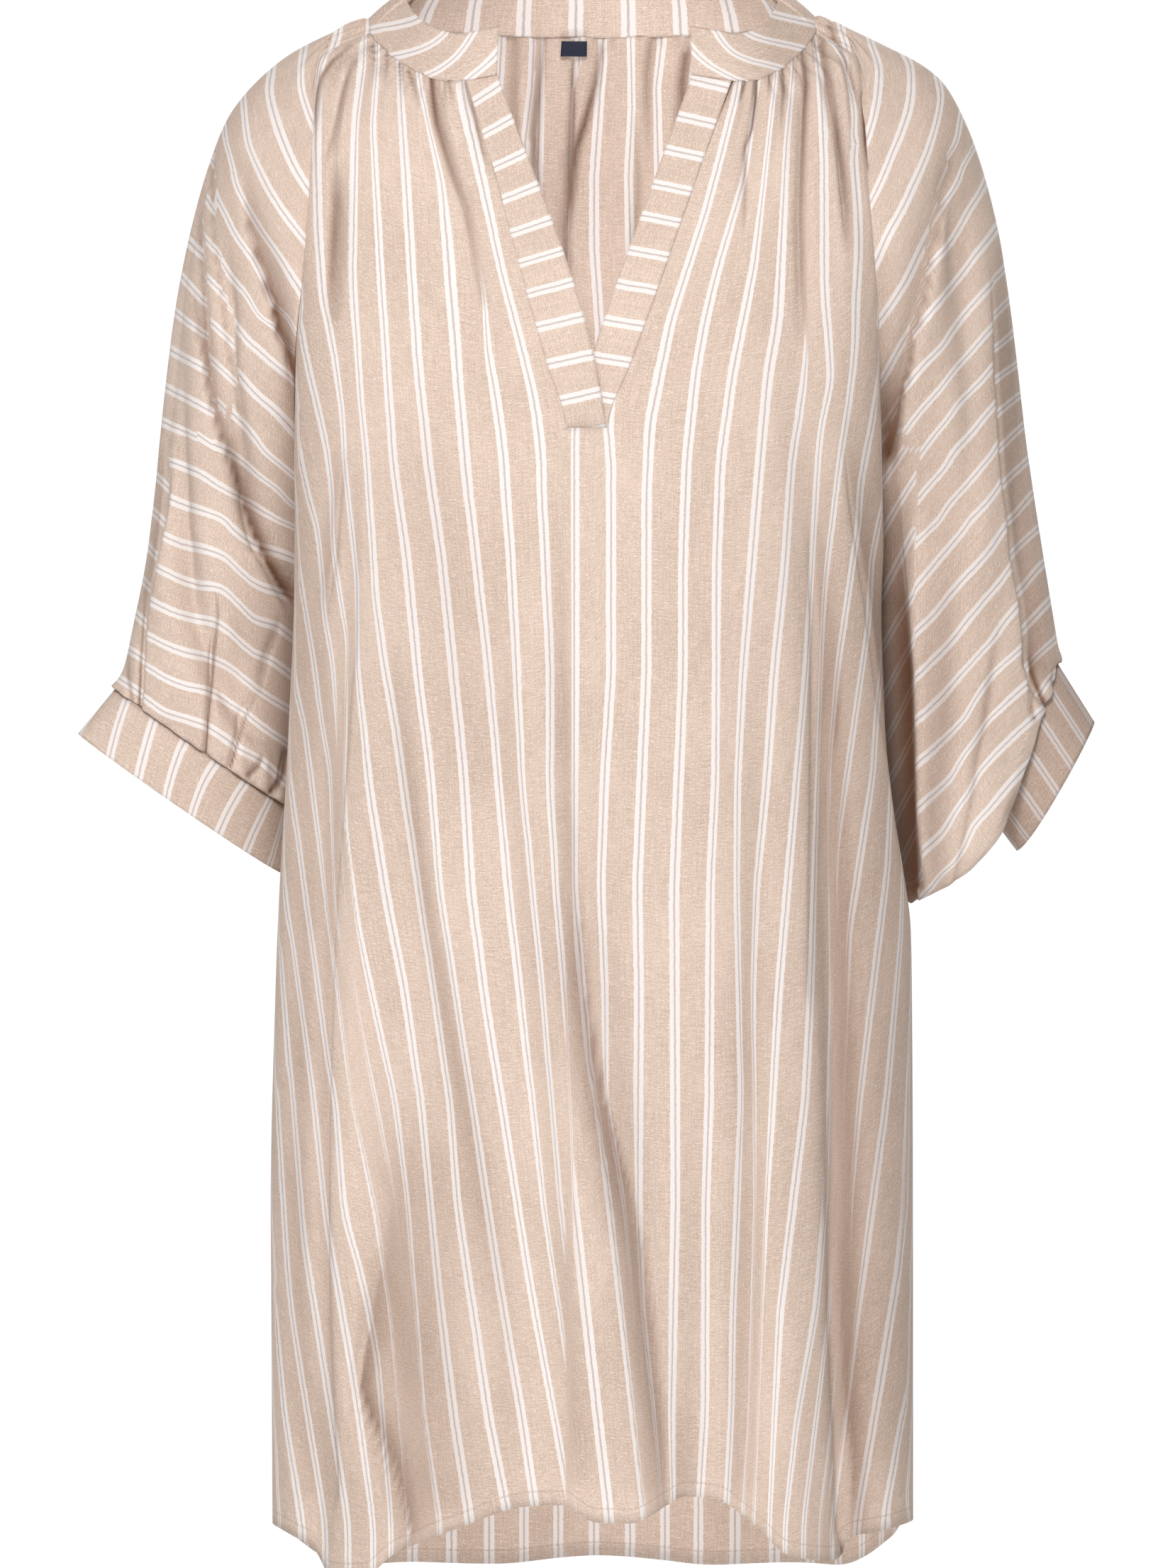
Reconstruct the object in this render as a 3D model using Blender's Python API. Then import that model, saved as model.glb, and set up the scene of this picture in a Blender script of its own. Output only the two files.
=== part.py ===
"""Tunic top: raglan sleeves gathered into cuffs, a stand band collar, and a slit with two placket bands.

Lengths are in millimetres until the meshes are made. +X is the wearer's left, +Y the back, +Z up.
The origin lies between the shoulders at the height of the neck seam. A row value r runs from 0 at the
neck seam to 1 at the underarm, and to 2 at the hem of the body or at the seam of the cuff.
"""

import bmesh
import bpy
import numpy as np

METRES = 0.001
WALL = 1.2
SEAM_GAP = 0.4
LAP = 1.7  # between the middles of two walls that lie on each other
COLLAR_HEIGHT = 28.0
COLLAR_LIFT = 0.3  # more room under the collar, where the gathers stand up
SLIT_ROW = 0.74  # the row where the slit ends
SLIT_END_Z = -228.0
SLIT_END_ROOM = 0.6
HEM_ROWS_FROM = 1.5  # the rows below this one follow the hem
BODY_CENTRE = (0.0, 0.0, -400.0)
PLACKET_TOP_X = 52.0
PLACKET_TOP_Y = -75.5
PLACKET_TOP_Z = -35.0

SIDES = {"right": -1, "left": 1}
HALF_COLUMNS = 24
BACK_COLUMNS = 20
SLEEVE_COLUMNS = 28
STRIP_COLUMNS = 3
FRONT_PLEATS = 6
BACK_PLEATS = 5
SLEEVE_PLEATS = 7
CUFF_PLEATS = 7


def smooth(knots, values, at):
    """A monotone cubic through the knots."""
    knots = np.asarray(knots, float)
    values = np.asarray(values, float)
    at = np.clip(at, knots[0], knots[-1])
    step = np.diff(knots)
    slope = np.diff(values) / step
    tangent = np.zeros(len(knots))
    before, after = slope[:-1], slope[1:]
    same = before * after > 0
    weight_a = 2 * step[1:] + step[:-1]
    weight_b = step[1:] + 2 * step[:-1]
    safe_before = np.where(same, before, 1)
    safe_after = np.where(same, after, 1)
    mean = (weight_a + weight_b) / (weight_a / safe_before + weight_b / safe_after)
    tangent[1:-1] = np.where(same, mean, 0)
    tangent[0], tangent[-1] = slope[0], slope[-1]
    i = np.clip(np.searchsorted(knots, at, side="right") - 1, 0, len(step) - 1)
    x = (at - knots[i]) / step[i]
    start = values[i] * (1 + 2 * x) * (1 - x) ** 2 + tangent[i] * step[i] * x * (1 - x) ** 2
    end = values[i + 1] * x * x * (3 - 2 * x) + tangent[i + 1] * step[i] * x * x * (x - 1)
    return start + end


class Table:
    """Rows of named columns, read between the rows by a smooth curve through them."""

    def __init__(self, names, *rows):
        self.names = names.split()
        self.columns = dict(zip(self.names, np.array(rows, float).T))

    def read(self, name, at):
        return smooth(self.columns[self.names[0]], self.columns[name], at)

    def point(self, names, at):
        return np.stack([self.read(name, at) for name in names.split()], axis=-1)


# The seam of front and sleeve down to the underarm, then the side seam of front and back.
FRONT_EDGE = Table(
    "r right_x left_x y z",
    (0.000, -122.5, 121.0, -12, -4),
    (0.114, -149.0, 143.0, -35, -23),
    (0.309, -152.5, 147.0, -65, -83),
    (0.483, -156.5, 151.5, -70, -143),
    (0.600, -160.5, 153.5, -62, -182),
    (0.776, -162.0, 155.0, -32, -237),
    (1.000, -160.0, 154.5, 10, -300),
    (1.200, -162.5, 159.5, 12, -390),
    (1.450, -167.5, 168.5, 12, -515),
    (1.700, -170.0, 169.0, 12, -650),
    (2.000, -170.0, 169.0, 13, -820),
)
BACK_EDGE = Table(
    "r right_x left_x y z",
    (0.000, -115.0, 114.0, 34, 6),
    (0.114, -134.0, 132.0, 52, -12),
    (0.309, -151.0, 147.0, 74, -60),
    (0.483, -157.0, 152.0, 84, -115),
    (0.600, -160.0, 154.0, 84, -155),
    (0.776, -162.0, 156.0, 62, -225),
    (1.000, -160.0, 154.5, 10, -300),
    (1.200, -162.5, 159.5, 12, -390),
    (1.450, -167.5, 168.5, 12, -515),
    (1.700, -170.0, 169.0, 12, -650),
    (2.000, -170.0, 169.0, 13, -820),
)

# The edge of each front half at the slit and below it, and how each row leaves that edge and meets the
# outer one. A turn is in degrees from straight sideways at the slit, and from straight back outside.
FRONT_INNER = Table(
    "r right_x left_x y z pull turn rise",
    (0.000, -68.0, 73.0, -74, -38, 22, 12, -4),
    (0.114, -61.0, 64.5, -84, -62, 38, 6, 0),
    (0.309, -47.0, 47.0, -100, -112, 52, 3, 0),
    (0.483, -34.0, 30.5, -113, -160, 60, 0, 0),
    (0.600, -25.0, 19.0, -121, -192, 68, 0, 0),
    (0.740, -14.6, 6.6, -127, -228, 76, 0, 0),
    (1.000, -14.6, 6.6, -131, -300, 85, 0, 0),
    (1.300, -14.6, 6.6, -127, -420, 88, 0, 0),
    (1.700, -14.6, 6.6, -121, -630, 92, 0, 0),
    (2.000, -14.6, 6.6, -122, -797, 92, 0, 0),
)
FRONT_OUTER = Table(
    "r pull turn drop",
    (0.000, 30, 15, 16),
    (0.114, 30, 37, 14),
    (0.309, 28, 35, 6),
    (0.483, 30, 25, 3),
    (0.600, 38, 8, 0),
    (0.776, 62, -8, 0),
    (1.000, 92, -16, 0),
    (2.000, 98, -17, 0),
)
BACK_INNER = Table(
    "r y z pull",
    (0.0, 65, 4, 62),
    (0.3, 82, -75, 80),
    (0.6, 97, -165, 88),
    (1.0, 104, -290, 92),
    (1.3, 104, -420, 92),
    (1.7, 110, -650, 95),
    (2.0, 117, -858, 95),
)
BACK_OUTER = Table(
    "r pull turn",
    (0.000, 18, 30),
    (0.114, 24, 45),
    (0.309, 22, 50),
    (0.483, 20, 45),
    (0.600, 22, 35),
    (0.776, 40, 4),
    (1.000, 62, -5),
    (2.000, 66, -8),
)

# The outer line of each sleeve and its underarm seam, with the depth of the tube before and behind them.
SLEEVES = {
    "right": Table(
        "r outer_x outer_y outer_z inner_x inner_y inner_z front back",
        (0.000, -124.0, 10, 6, -160.0, 10, -300, 6, 8),
        (0.114, -135.0, 10, 1, -160.0, 10, -300, 24, 22),
        (0.309, -169.0, 10, -15, -160.0, 10, -300, 44, 40),
        (0.483, -200.0, 10, -46, -160.0, 10, -300, 52, 50),
        (0.600, -213.0, 12, -76, -160.0, 10, -300, 56, 54),
        (0.776, -230.5, 12, -151, -160.0, 10, -300, 58, 56),
        (1.000, -243.5, 12, -264, -160.0, 10, -300, 48, 52),
        (1.150, -247.0, 12, -291, -163.8, 18, -326, 46, 51),
        (1.300, -251.5, 12, -315, -166.5, 24, -350, 44, 50),
        (1.700, -260.5, 12, -354, -168.5, 27, -402, 42, 48),
        (2.000, -265.5, 12, -362, -170.5, 28, -428, 40, 44),
    ),
    "left": Table(
        "r outer_x outer_y outer_z inner_x inner_y inner_z front back",
        (0.000, 121.5, 10, 7, 154.5, 10, -300, 6, 8),
        (0.114, 132.0, 10, 3, 154.5, 10, -300, 24, 22),
        (0.309, 160.0, 10, -9, 154.5, 10, -300, 44, 40),
        (0.483, 190.0, 10, -27, 154.5, 10, -300, 54, 50),
        (0.600, 209.0, 12, -62, 154.5, 10, -300, 58, 54),
        (0.776, 225.5, 12, -126, 154.5, 10, -300, 60, 56),
        (1.000, 239.0, 12, -232, 154.5, 10, -300, 52, 56),
        (1.300, 247.5, 12, -288, 164.0, 18, -375, 52, 56),
        (1.600, 254.0, 12, -328, 171.0, 12, -450, 52, 56),
        (1.800, 256.0, 12, -341, 177.5, 8, -481, 50, 56),
        (1.900, 256.5, 12, -345, 192.0, 8, -464, 44, 54),
        (2.000, 256.0, 12, -347, 210.0, 10, -424, 38, 50),
    ),
}
# How a row of a sleeve leaves the seam in front and the one behind: outwards, away from the arm and up.
SLEEVE_LEAVES = {
    "right": Table(
        "r front_out front_away front_up back_out back_away back_up",
        (0.000, 0, -8, 5, 3, -8, 1),
        (0.114, 2, -16, 9, 4, -14, 8),
        (0.309, 6, -2, 24, 10, 4, 22),
        (0.483, 14, 8, 30, 14, 12, 28),
        (0.600, 20, 18, 26, 18, 20, 24),
        (0.776, 26, 34, 20, 22, 34, 18),
        (1.000, 30, 56, 12, 24, 54, 10),
        (1.300, 22, 66, 8, 16, 60, 6),
        (1.700, 12, 66, 6, 10, 58, 4),
        (2.000, 8, 58, 5, 6, 52, 4),
    ),
    "left": Table(
        "r front_out front_away front_up back_out back_away back_up",
        (0.000, 0, -8, 5, 3, -8, 1),
        (0.114, 2, -16, 9, 4, -14, 8),
        (0.309, 6, -2, 24, 10, 4, 22),
        (0.483, 14, 8, 30, 14, 12, 28),
        (0.600, 20, 18, 26, 18, 20, 24),
        (0.776, 26, 36, 20, 22, 34, 18),
        (1.000, 24, 64, 10, 24, 54, 10),
        (1.300, 14, 76, 8, 16, 60, 6),
        (1.600, 12, 78, 10, 12, 58, 6),
        (1.800, 22, 70, 12, 12, 56, 8),
        (1.900, 24, 60, 10, 12, 52, 8),
        (2.000, 6, 50, 4, 8, 46, 6),
    ),
}
# The front of the left sleeve hangs over its cuff.
DROOP_LEFT = Table("r drop", (1.3, 0), (1.6, 14), (1.8, 26), (1.9, 16), (2.0, 0))
DROOP_TURN = 0.19
DROOP_WIDTH = 0.09

# Long folds of the front, as ridges that fall off more on one side. x is read at the top, the middle
# and the foot of the fold, and the height grows from the top down.
FRONT_FOLDS = (
    dict(top_z=-400, foot_z=-830, x=(-132, -131, -103), widths=(34, 11), heights=(0, 15)),
    dict(top_z=-250, foot_z=-830, x=(-104, -86, -46), widths=(30, 14), heights=(1, 5)),
    dict(top_z=-240, foot_z=-830, x=(-26, -8, 38), widths=(38, 12), heights=(1, 10)),
    dict(top_z=-120, foot_z=-830, x=(104, 128, 140), widths=(12, 16), heights=(-2, -9)),
    dict(top_z=-520, foot_z=-830, x=(92, 99, 104), widths=(18, 14), heights=(0, 7)),
    dict(top_z=-330, foot_z=-830, x=(-146, -147, -147), widths=(9, 9), heights=(-3, -5)),
)
BACK_FOLDS = (
    dict(top_z=-200, foot_z=-870, x=(-70, -90, -104), widths=(26, 22), heights=(2, 12)),
    dict(top_z=-260, foot_z=-870, x=(20, 14, 6), widths=(34, 30), heights=(2, 9)),
    dict(top_z=-220, foot_z=-870, x=(84, 96, 112), widths=(24, 26), heights=(2, 12)),
    dict(top_z=-380, foot_z=-870, x=(-30, -42, -50), widths=(20, 20), heights=(-1, -7)),
    dict(top_z=-420, foot_z=-870, x=(52, 60, 64), widths=(18, 18), heights=(-1, -7)),
)
# Creases of a sleeve, in its own rows and turns: troughs that run down from the shoulder and inwards.
SLEEVE_FOLDS = {
    "right": (
        dict(rows=(0.62, 1.02), turns=(0.26, 0.10), width=0.035, height=-6),
        dict(rows=(0.76, 1.72), turns=(0.40, 0.12), width=0.045, height=-9),
        dict(rows=(0.50, 1.10), turns=(0.44, 0.42), width=0.030, height=-3),
    ),
    "left": (
        dict(rows=(0.70, 1.90), turns=(0.24, 0.14), width=0.060, height=5),
        dict(rows=(0.55, 1.20), turns=(0.30, 0.20), width=0.040, height=-4),
        dict(rows=(0.90, 1.85), turns=(0.42, 0.38), width=0.040, height=-4),
    ),
}
# Height of the gathers below the neck seam, and of those above the cuffs.
NECK_GATHERS = Table("r height", (0, 0.5), (0.05, 2.2), (0.14, 2.0), (0.28, 1.0), (0.42, 0.3), (0.55, 0))
CUFF_GATHERS = Table("r height", (1.45, 0), (1.7, 1.0), (1.88, 2.2), (1.96, 1.6), (2, 0.3))

# The hem's height along each half of the front, from the middle outwards.
HEM = {
    "right": Table(
        "u z",
        (0.00, -796),
        (0.08, -797),
        (0.21, -809),
        (0.32, -821),
        (0.40, -836),
        (0.52, -838),
        (0.60, -823),
        (0.76, -818),
        (1.00, -819),
    ),
    "left": Table(
        "u z",
        (0.00, -805),
        (0.04, -805),
        (0.15, -792),
        (0.21, -794),
        (0.29, -809),
        (0.35, -824),
        (0.50, -830),
        (0.58, -819),
        (0.75, -816),
        (1.00, -819),
    ),
}
STRIP_HEM = Table("u z", (0, -796), (0.74, -805), (1, -805))
BACK_HEM = Table("u z", (0, -858), (0.3, -860), (0.55, -858), (0.8, -838), (1, -819))

# How far the collar leans inwards, by the share of its seam from the front corner to the middle back.
COLLAR_LEAN = Table(
    "s degrees", (0, 18), (0.08, 22), (0.16, 40), (0.25, 54), (0.33, 52), (0.42, 30), (0.5, 22)
)
# The free edge of each placket band. Below the V each band crosses the middle.
PLACKET_INNER = {
    "right": Table("z x", (-228, 6.4), (-187, -0.8), (-35, -52)),
    "left": Table("z x", (-228, -14.0), (-187, -0.8), (-35, 52.5)),
}
# How much of the lap between the two bands there is at each height: all of it where they cross.
PLACKET_CROSSING = Table("z share", (-230, 1), (-187, 1), (-160, 0), (-30, 0))
# Where the foot of each cuff lies from its top, and how wide its ring is there.
CUFFS = {
    "right": dict(drop=(-11.0, 0.0, -31.5), flare=1.21),
    "left": dict(drop=(21.5, 0.0, -31.5), flare=0.96),
}
# Sleeve and body lie on each other near the underarm, and are moved this far apart there.
UNDERARM_PARTING = Table("r apart", (0, 0), (0.4, 0), (0.72, 0.95), (1, 1), (1.25, 0), (2, 0))
# How far the walls on both sides of the raglan and of the side seam turn to one common direction.
RAGLAN_TURNING = Table("r share", (0, 1), (0.4, 1), (0.7, 0), (2, 0))
SIDE_TURNING = Table("r share", (1, 0.5), (1.2, 1), (2, 1))
# The label's place on the inside of the back.
LABEL_ROWS = (0.008, 0.040)
LABEL_COLUMNS = (0.0215, 0.101)
LABEL_WALL = 1.0


def body_rows():
    """Row values, closer together near the neck, with one at the slit's end and one at the underarm."""
    slit = SLIT_ROW * np.linspace(0, 1, 11) ** 1.25
    yoke = np.linspace(SLIT_ROW, 1, 4)[1:]
    skirt = np.linspace(1, 2, 8)[1:]
    return np.concatenate([slit, yoke, skirt])


def sleeve_rows():
    """The same rows as the body down to the underarm, then those of the sleeve's tube."""
    rows = body_rows()
    tube = np.array([1.15, 1.3, 1.45, 1.6, 1.7, 1.8, 1.86, 1.93, 2.0])
    return np.concatenate([rows[rows <= 1.0001], tube])


def bezier(p0, p1, p2, p3, w):
    w = w[None, :, None]
    p0, p1, p2, p3 = (p[:, None, :] for p in (p0, p1, p2, p3))
    return p0 * (1 - w) ** 3 + 3 * p1 * w * (1 - w) ** 2 + 3 * p2 * w * w * (1 - w) + p3 * w**3


def stacked(*parts):
    return np.stack(np.broadcast_arrays(*parts), axis=-1).astype(float)


def normals_of(grid):
    """Unit normals of a grid of points: along the rows crossed with along the columns."""
    normal = np.cross(np.gradient(grid, axis=0), np.gradient(grid, axis=1))
    return normal / np.linalg.norm(normal, axis=-1, keepdims=True)


def fold_height(x, z, folds):
    """How far the folds stand out at each point of a panel."""
    total = np.zeros(x.shape)
    for fold in folds:
        along = np.clip((z - fold["top_z"]) / (fold["foot_z"] - fold["top_z"]), 0, 1)
        line = smooth((0, 0.5, 1), fold["x"], along)
        width = np.where(x < line, *fold["widths"])
        height = fold["heights"][0] + (fold["heights"][1] - fold["heights"][0]) * along
        fade = np.clip(along / 0.15, 0, 1)
        total += height * fade * np.exp(-(((x - line) / width) ** 2))
    return total


def hem_height(grid, rows, ends):
    """Moves the last rows of a panel down or up to the hem's own line."""
    share = np.clip((rows - HEM_ROWS_FROM) / (2 - HEM_ROWS_FROM), 0, 1)[:, None]
    grid[..., 2] += share * (ends - grid[-1:, :, 2])
    return grid


def front_half(side, rows, columns):
    """Base surface of one half of the front: the slit first, the raglan and side seam last."""
    sign = SIDES[side]
    inner = stacked(FRONT_INNER.read(side + "_x", rows), *FRONT_INNER.point("y z", rows).T)
    outer = stacked(FRONT_EDGE.read(side + "_x", rows), *FRONT_EDGE.point("y z", rows).T)
    in_turn = np.radians(FRONT_INNER.read("turn", rows))
    out_turn = np.radians(FRONT_OUTER.read("turn", rows))
    leave = stacked(sign * np.cos(in_turn), np.sin(in_turn), 0 * rows)
    arrive = stacked(sign * np.sin(out_turn), np.cos(out_turn), 0 * rows)
    near = inner + FRONT_INNER.read("pull", rows)[:, None] * leave
    near[:, 2] = inner[:, 2] + FRONT_INNER.read("rise", rows)
    far = outer - FRONT_OUTER.read("pull", rows)[:, None] * arrive
    far[:, 2] = outer[:, 2] - FRONT_OUTER.read("drop", rows)
    grid = bezier(inner, near, far, outer, columns)
    return hem_height(grid, rows, HEM[side].read("z", columns)[None, :])


def back_half(side, rows, columns):
    """Base surface of one half of the back: the centre line first, the raglan and side seam last."""
    sign = SIDES[side]
    inner = stacked(0 * rows, *BACK_INNER.point("y z", rows).T)
    outer = stacked(BACK_EDGE.read(side + "_x", rows), *BACK_EDGE.point("y z", rows).T)
    turn = np.radians(BACK_OUTER.read("turn", rows))
    arrive = stacked(sign * np.sin(turn), -np.cos(turn), 0 * rows)
    near = inner + BACK_INNER.read("pull", rows)[:, None] * np.array([sign, 0.0, 0.0])
    far = outer - BACK_OUTER.read("pull", rows)[:, None] * arrive
    grid = bezier(inner, near, far, outer, columns)
    return hem_height(grid, rows, BACK_HEM.read("z", columns)[None, :])


def sleeve_ends(side, rows, edge):
    """Where each row of a sleeve starts or ends: on the raglan seam, then on the underarm seam."""
    raglan = stacked(edge.read(side + "_x", rows), *edge.point("y z", rows).T)
    seam = SLEEVES[side].point("inner_x inner_y inner_z", rows)
    return np.where(rows[:, None] < 1, raglan, seam)


def sleeve_grid(side, rows, turns):
    """Base surface of a sleeve: from the front seam over the outer line to the back seam."""
    sign = SIDES[side]
    outer = SLEEVES[side].point("outer_x outer_y outer_z", rows)
    half = turns[turns <= 0.5] * 2
    rings = []
    for edge, place, way in ((FRONT_EDGE, "front", -1), (BACK_EDGE, "back", 1)):
        start = sleeve_ends(side, rows, edge)
        leave = SLEEVE_LEAVES[side].point(f"{place}_out {place}_away {place}_up", rows)
        near = start + leave * (sign, way, 1)
        over = outer + stacked(0 * rows, way * SLEEVES[side].read(place, rows), 0 * rows)
        rings.append(bezier(start, near, over, outer, half))
    grid = np.concatenate([rings[0], rings[1][:, ::-1][:, 1:]], axis=1)
    if side == "left":
        bell = np.exp(-(((turns - DROOP_TURN) / DROOP_WIDTH) ** 2))
        grid[..., 2] -= DROOP_LEFT.read("drop", rows)[:, None] * bell
    return grid


def crease_height(rows, turns, folds):
    """Depth of a sleeve's creases at each row value and turn from 0 to 1 round it."""
    total = np.zeros((len(rows), len(turns)))
    for fold in folds:
        first, last = fold["rows"]
        along = (rows - first) / (last - first)
        line = fold["turns"][0] + (fold["turns"][1] - fold["turns"][0]) * along
        fade = np.clip(np.minimum(along, 1 - along) / 0.2, 0, 1)
        offset = (turns[None, :] - line[:, None]) / fold["width"]
        total += (fold["height"] * fade)[:, None] * np.exp(-(offset**2))
    return total


def gathers(columns, pleats):
    """Waves that only stand outwards, so that what they are sewn to stays clear."""
    return 0.5 - 0.5 * np.cos(2 * np.pi * pleats * columns)


def shrink(grid, first=True, last=True):
    """Draws the first and last columns in by half of the seam's gap."""
    for edge, inside, wanted in ((0, 1, first), (-1, -2, last)):
        if wanted:
            way = grid[:, inside] - grid[:, edge]
            length = np.linalg.norm(way, axis=-1, keepdims=True)
            grid[:, edge] += way / length * SEAM_GAP / 2
    return grid


def wall(name, grid, normal, keep=None, merge_from=None, thickness=WALL):
    """A closed wall round a grid of points: two layers, joined along every open edge.

    keep tells which quads there are. From the row merge_from on, the last column is the first."""
    count_i, count_j = grid.shape[:2]
    keep = np.ones((count_i - 1, count_j - 1), bool) if keep is None else keep
    index = np.arange(count_i * count_j).reshape(count_i, count_j)
    if merge_from is not None:
        index[merge_from:, -1] = index[merge_from:, 0]
        normal[merge_from:, 0] = (normal[merge_from:, 0] + normal[merge_from:, -1]) / 2
    layers = [(grid + side * normal * thickness / 2).reshape(-1, 3) * METRES for side in (1, -1)]
    quads = [
        (index[i, j], index[i, j + 1], index[i + 1, j + 1], index[i + 1, j])
        for i, j in zip(*np.nonzero(keep))
    ]
    edges = {}
    for quad in quads:
        for a, b in zip(quad, quad[1:] + quad[:1]):
            if (b, a) in edges:
                del edges[(b, a)]
            else:
                edges[(a, b)] = True
    used = sorted({int(v) for quad in quads for v in quad})
    mesh = bpy.data.meshes.new(name)
    build = bmesh.new()
    outside = {v: build.verts.new(layers[0][v]) for v in used}
    inside = {v: build.verts.new(layers[1][v]) for v in used}
    for quad in quads:
        build.faces.new([outside[v] for v in quad])
        build.faces.new([inside[v] for v in reversed(quad)])
    for a, b in edges:
        build.faces.new([outside[b], outside[a], inside[a], inside[b]])
    bmesh.ops.recalc_face_normals(build, faces=build.faces)
    build.to_mesh(mesh)
    build.free()
    mesh.shade_smooth()
    piece = bpy.data.objects.new(name, mesh)
    bpy.context.scene.collection.objects.link(piece)
    return piece


def outward(grid, normal, centre):
    """Turns the normals so that they point away from the given centre."""
    facing = np.sum((grid - centre) * normal, axis=-1).sum()
    return normal if facing > 0 else -normal


def body_normals(grid):
    return outward(grid, normals_of(grid), BODY_CENTRE)


def front_grid(rows):
    """The front from the wearer's right seam to the left one: its points, normals and quads."""
    columns = np.linspace(0, 1, HALF_COLUMNS + 1)
    right = front_half("right", rows, columns)[:, ::-1]
    left = front_half("left", rows, columns)
    share = np.linspace(0, 1, STRIP_COLUMNS + 1)[1:-1]
    strip = right[:, -1:] * (1 - share[:, None]) + left[:, :1] * share[:, None]
    strip = hem_height(strip, rows, STRIP_HEM.read("z", share)[None, :])
    grid = np.concatenate([right, strip, left], axis=1)
    slit = rows < SLIT_ROW + 1e-6
    normal = body_normals(grid)
    normal[slit, : HALF_COLUMNS + 1] = body_normals(right)[slit]
    normal[slit, -HALF_COLUMNS - 1 :] = body_normals(left)[slit]
    waves = gathers(columns, FRONT_PLEATS)
    waves = np.concatenate([waves[::-1], np.zeros(STRIP_COLUMNS - 1), waves])
    height = NECK_GATHERS.read("height", rows)[:, None] * waves
    folds = fold_height(grid[..., 0], grid[..., 2], FRONT_FOLDS)
    middle = slice(HALF_COLUMNS, HALF_COLUMNS + STRIP_COLUMNS + 1)
    folds[:, middle] *= np.clip((rows - SLIT_ROW) / 0.3, 0, 1)[:, None]
    height += folds
    height[:, [0, -1]] = 0
    keep = np.ones((len(rows) - 1, grid.shape[1] - 1), bool)
    keep[rows[:-1] < SLIT_ROW - 1e-6, middle.start : middle.stop - 1] = False
    return grid + normal * height[..., None], normal, keep


def back_grid(rows):
    """The back from the wearer's right seam to the left one."""
    columns = np.linspace(0, 1, BACK_COLUMNS + 1)
    right = back_half("right", rows, columns)[:, ::-1]
    left = back_half("left", rows, columns)
    grid = np.concatenate([right[:, :-1], left], axis=1)
    normal = body_normals(grid)
    waves = gathers(columns, BACK_PLEATS)
    height = NECK_GATHERS.read("height", rows)[:, None] * np.concatenate([waves[::-1], waves[1:]])
    height += fold_height(grid[..., 0], grid[..., 2], BACK_FOLDS)
    height[:, [0, -1]] = 0
    return grid + normal * height[..., None], normal


def sleeve_surface(side, rows):
    """A sleeve with its creases and gathers: its points and normals."""
    turns = np.linspace(0, 1, SLEEVE_COLUMNS + 1)
    grid = sleeve_grid(side, rows, turns)
    normal = normals_of(grid)
    middle = len(rows) // 2
    facing = np.sum((grid[middle] - grid[middle].mean(axis=0)) * normal[middle])
    normal = normal if facing > 0 else -normal
    closed = rows > 1 - 1e-6
    seam = normal[closed, 0] + normal[closed, -1]
    seam /= np.linalg.norm(seam, axis=-1, keepdims=True)
    normal[closed, 0] = normal[closed, -1] = seam
    height = NECK_GATHERS.read("height", rows)[:, None] * gathers(turns, SLEEVE_PLEATS)
    height += CUFF_GATHERS.read("height", rows)[:, None] * gathers(turns, CUFF_PLEATS)
    height += crease_height(rows, turns, SLEEVE_FOLDS[side])
    height[:, [0, -1]] = 0
    return grid + normal * height[..., None], normal


def share_normals(first, second, amount):
    """Turns two edges' normals towards their common mean, by an amount for each row."""
    mean = first + second
    mean /= np.maximum(np.linalg.norm(mean, axis=-1, keepdims=True), 1e-6)
    for edge in (first, second):
        edge += (mean - edge) * amount[:, None]
        edge /= np.linalg.norm(edge, axis=-1, keepdims=True)


def part_at_underarm(grid, column, rows, sign, way):
    """Moves an edge sideways near the underarm, where sleeve and body lie on each other."""
    grid[:, column, 0] += sign * way * UNDERARM_PARTING.read("apart", rows)


def neck_loop():
    """The collar's seam from the wearer's right front corner round the back to the left one."""
    columns = np.linspace(0, 1, HALF_COLUMNS // 2 + 1)
    first_row = np.array([0.0])
    halves = []
    for side, sign in SIDES.items():
        front = front_half(side, first_row, columns)[0]
        corner = np.array([[sign * PLACKET_TOP_X, PLACKET_TOP_Y, PLACKET_TOP_Z]])
        share = np.array([[0.0], [0.5]])
        band = corner * (1 - share) + front[:1] * share
        over = sleeve_grid(side, first_row, np.linspace(0, 1, 7))[0][1:-1]
        behind = back_half(side, first_row, np.linspace(1, 0, 11))[0]
        halves.append(np.concatenate([band, front, over, behind]))
    return np.concatenate([halves[0], halves[1][::-1][1:]])


def make_collar():
    """A stand band that leans in over the shoulders."""
    loop = neck_loop()
    step = np.linalg.norm(np.diff(loop, axis=0), axis=1)
    share = np.concatenate([[0], np.cumsum(step)]) / step.sum()
    tangent = np.gradient(loop, axis=0)
    inward = np.stack([tangent[:, 1], -tangent[:, 0], 0 * share], axis=1)
    inward /= np.linalg.norm(inward, axis=1, keepdims=True)
    if np.sum(inward * loop) > 0:
        inward = -inward
    lean = np.radians(COLLAR_LEAN.read("degrees", np.minimum(share, 1 - share)))[:, None]
    rise = inward * np.sin(lean) + np.array([0.0, 0.0, 1.0]) * np.cos(lean)
    heights = COLLAR_LIFT + np.linspace(SEAM_GAP, COLLAR_HEIGHT, 4)
    grid = loop[None] + heights[:, None, None] * rise[None]
    return wall("collar", grid, body_normals(grid))


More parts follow.
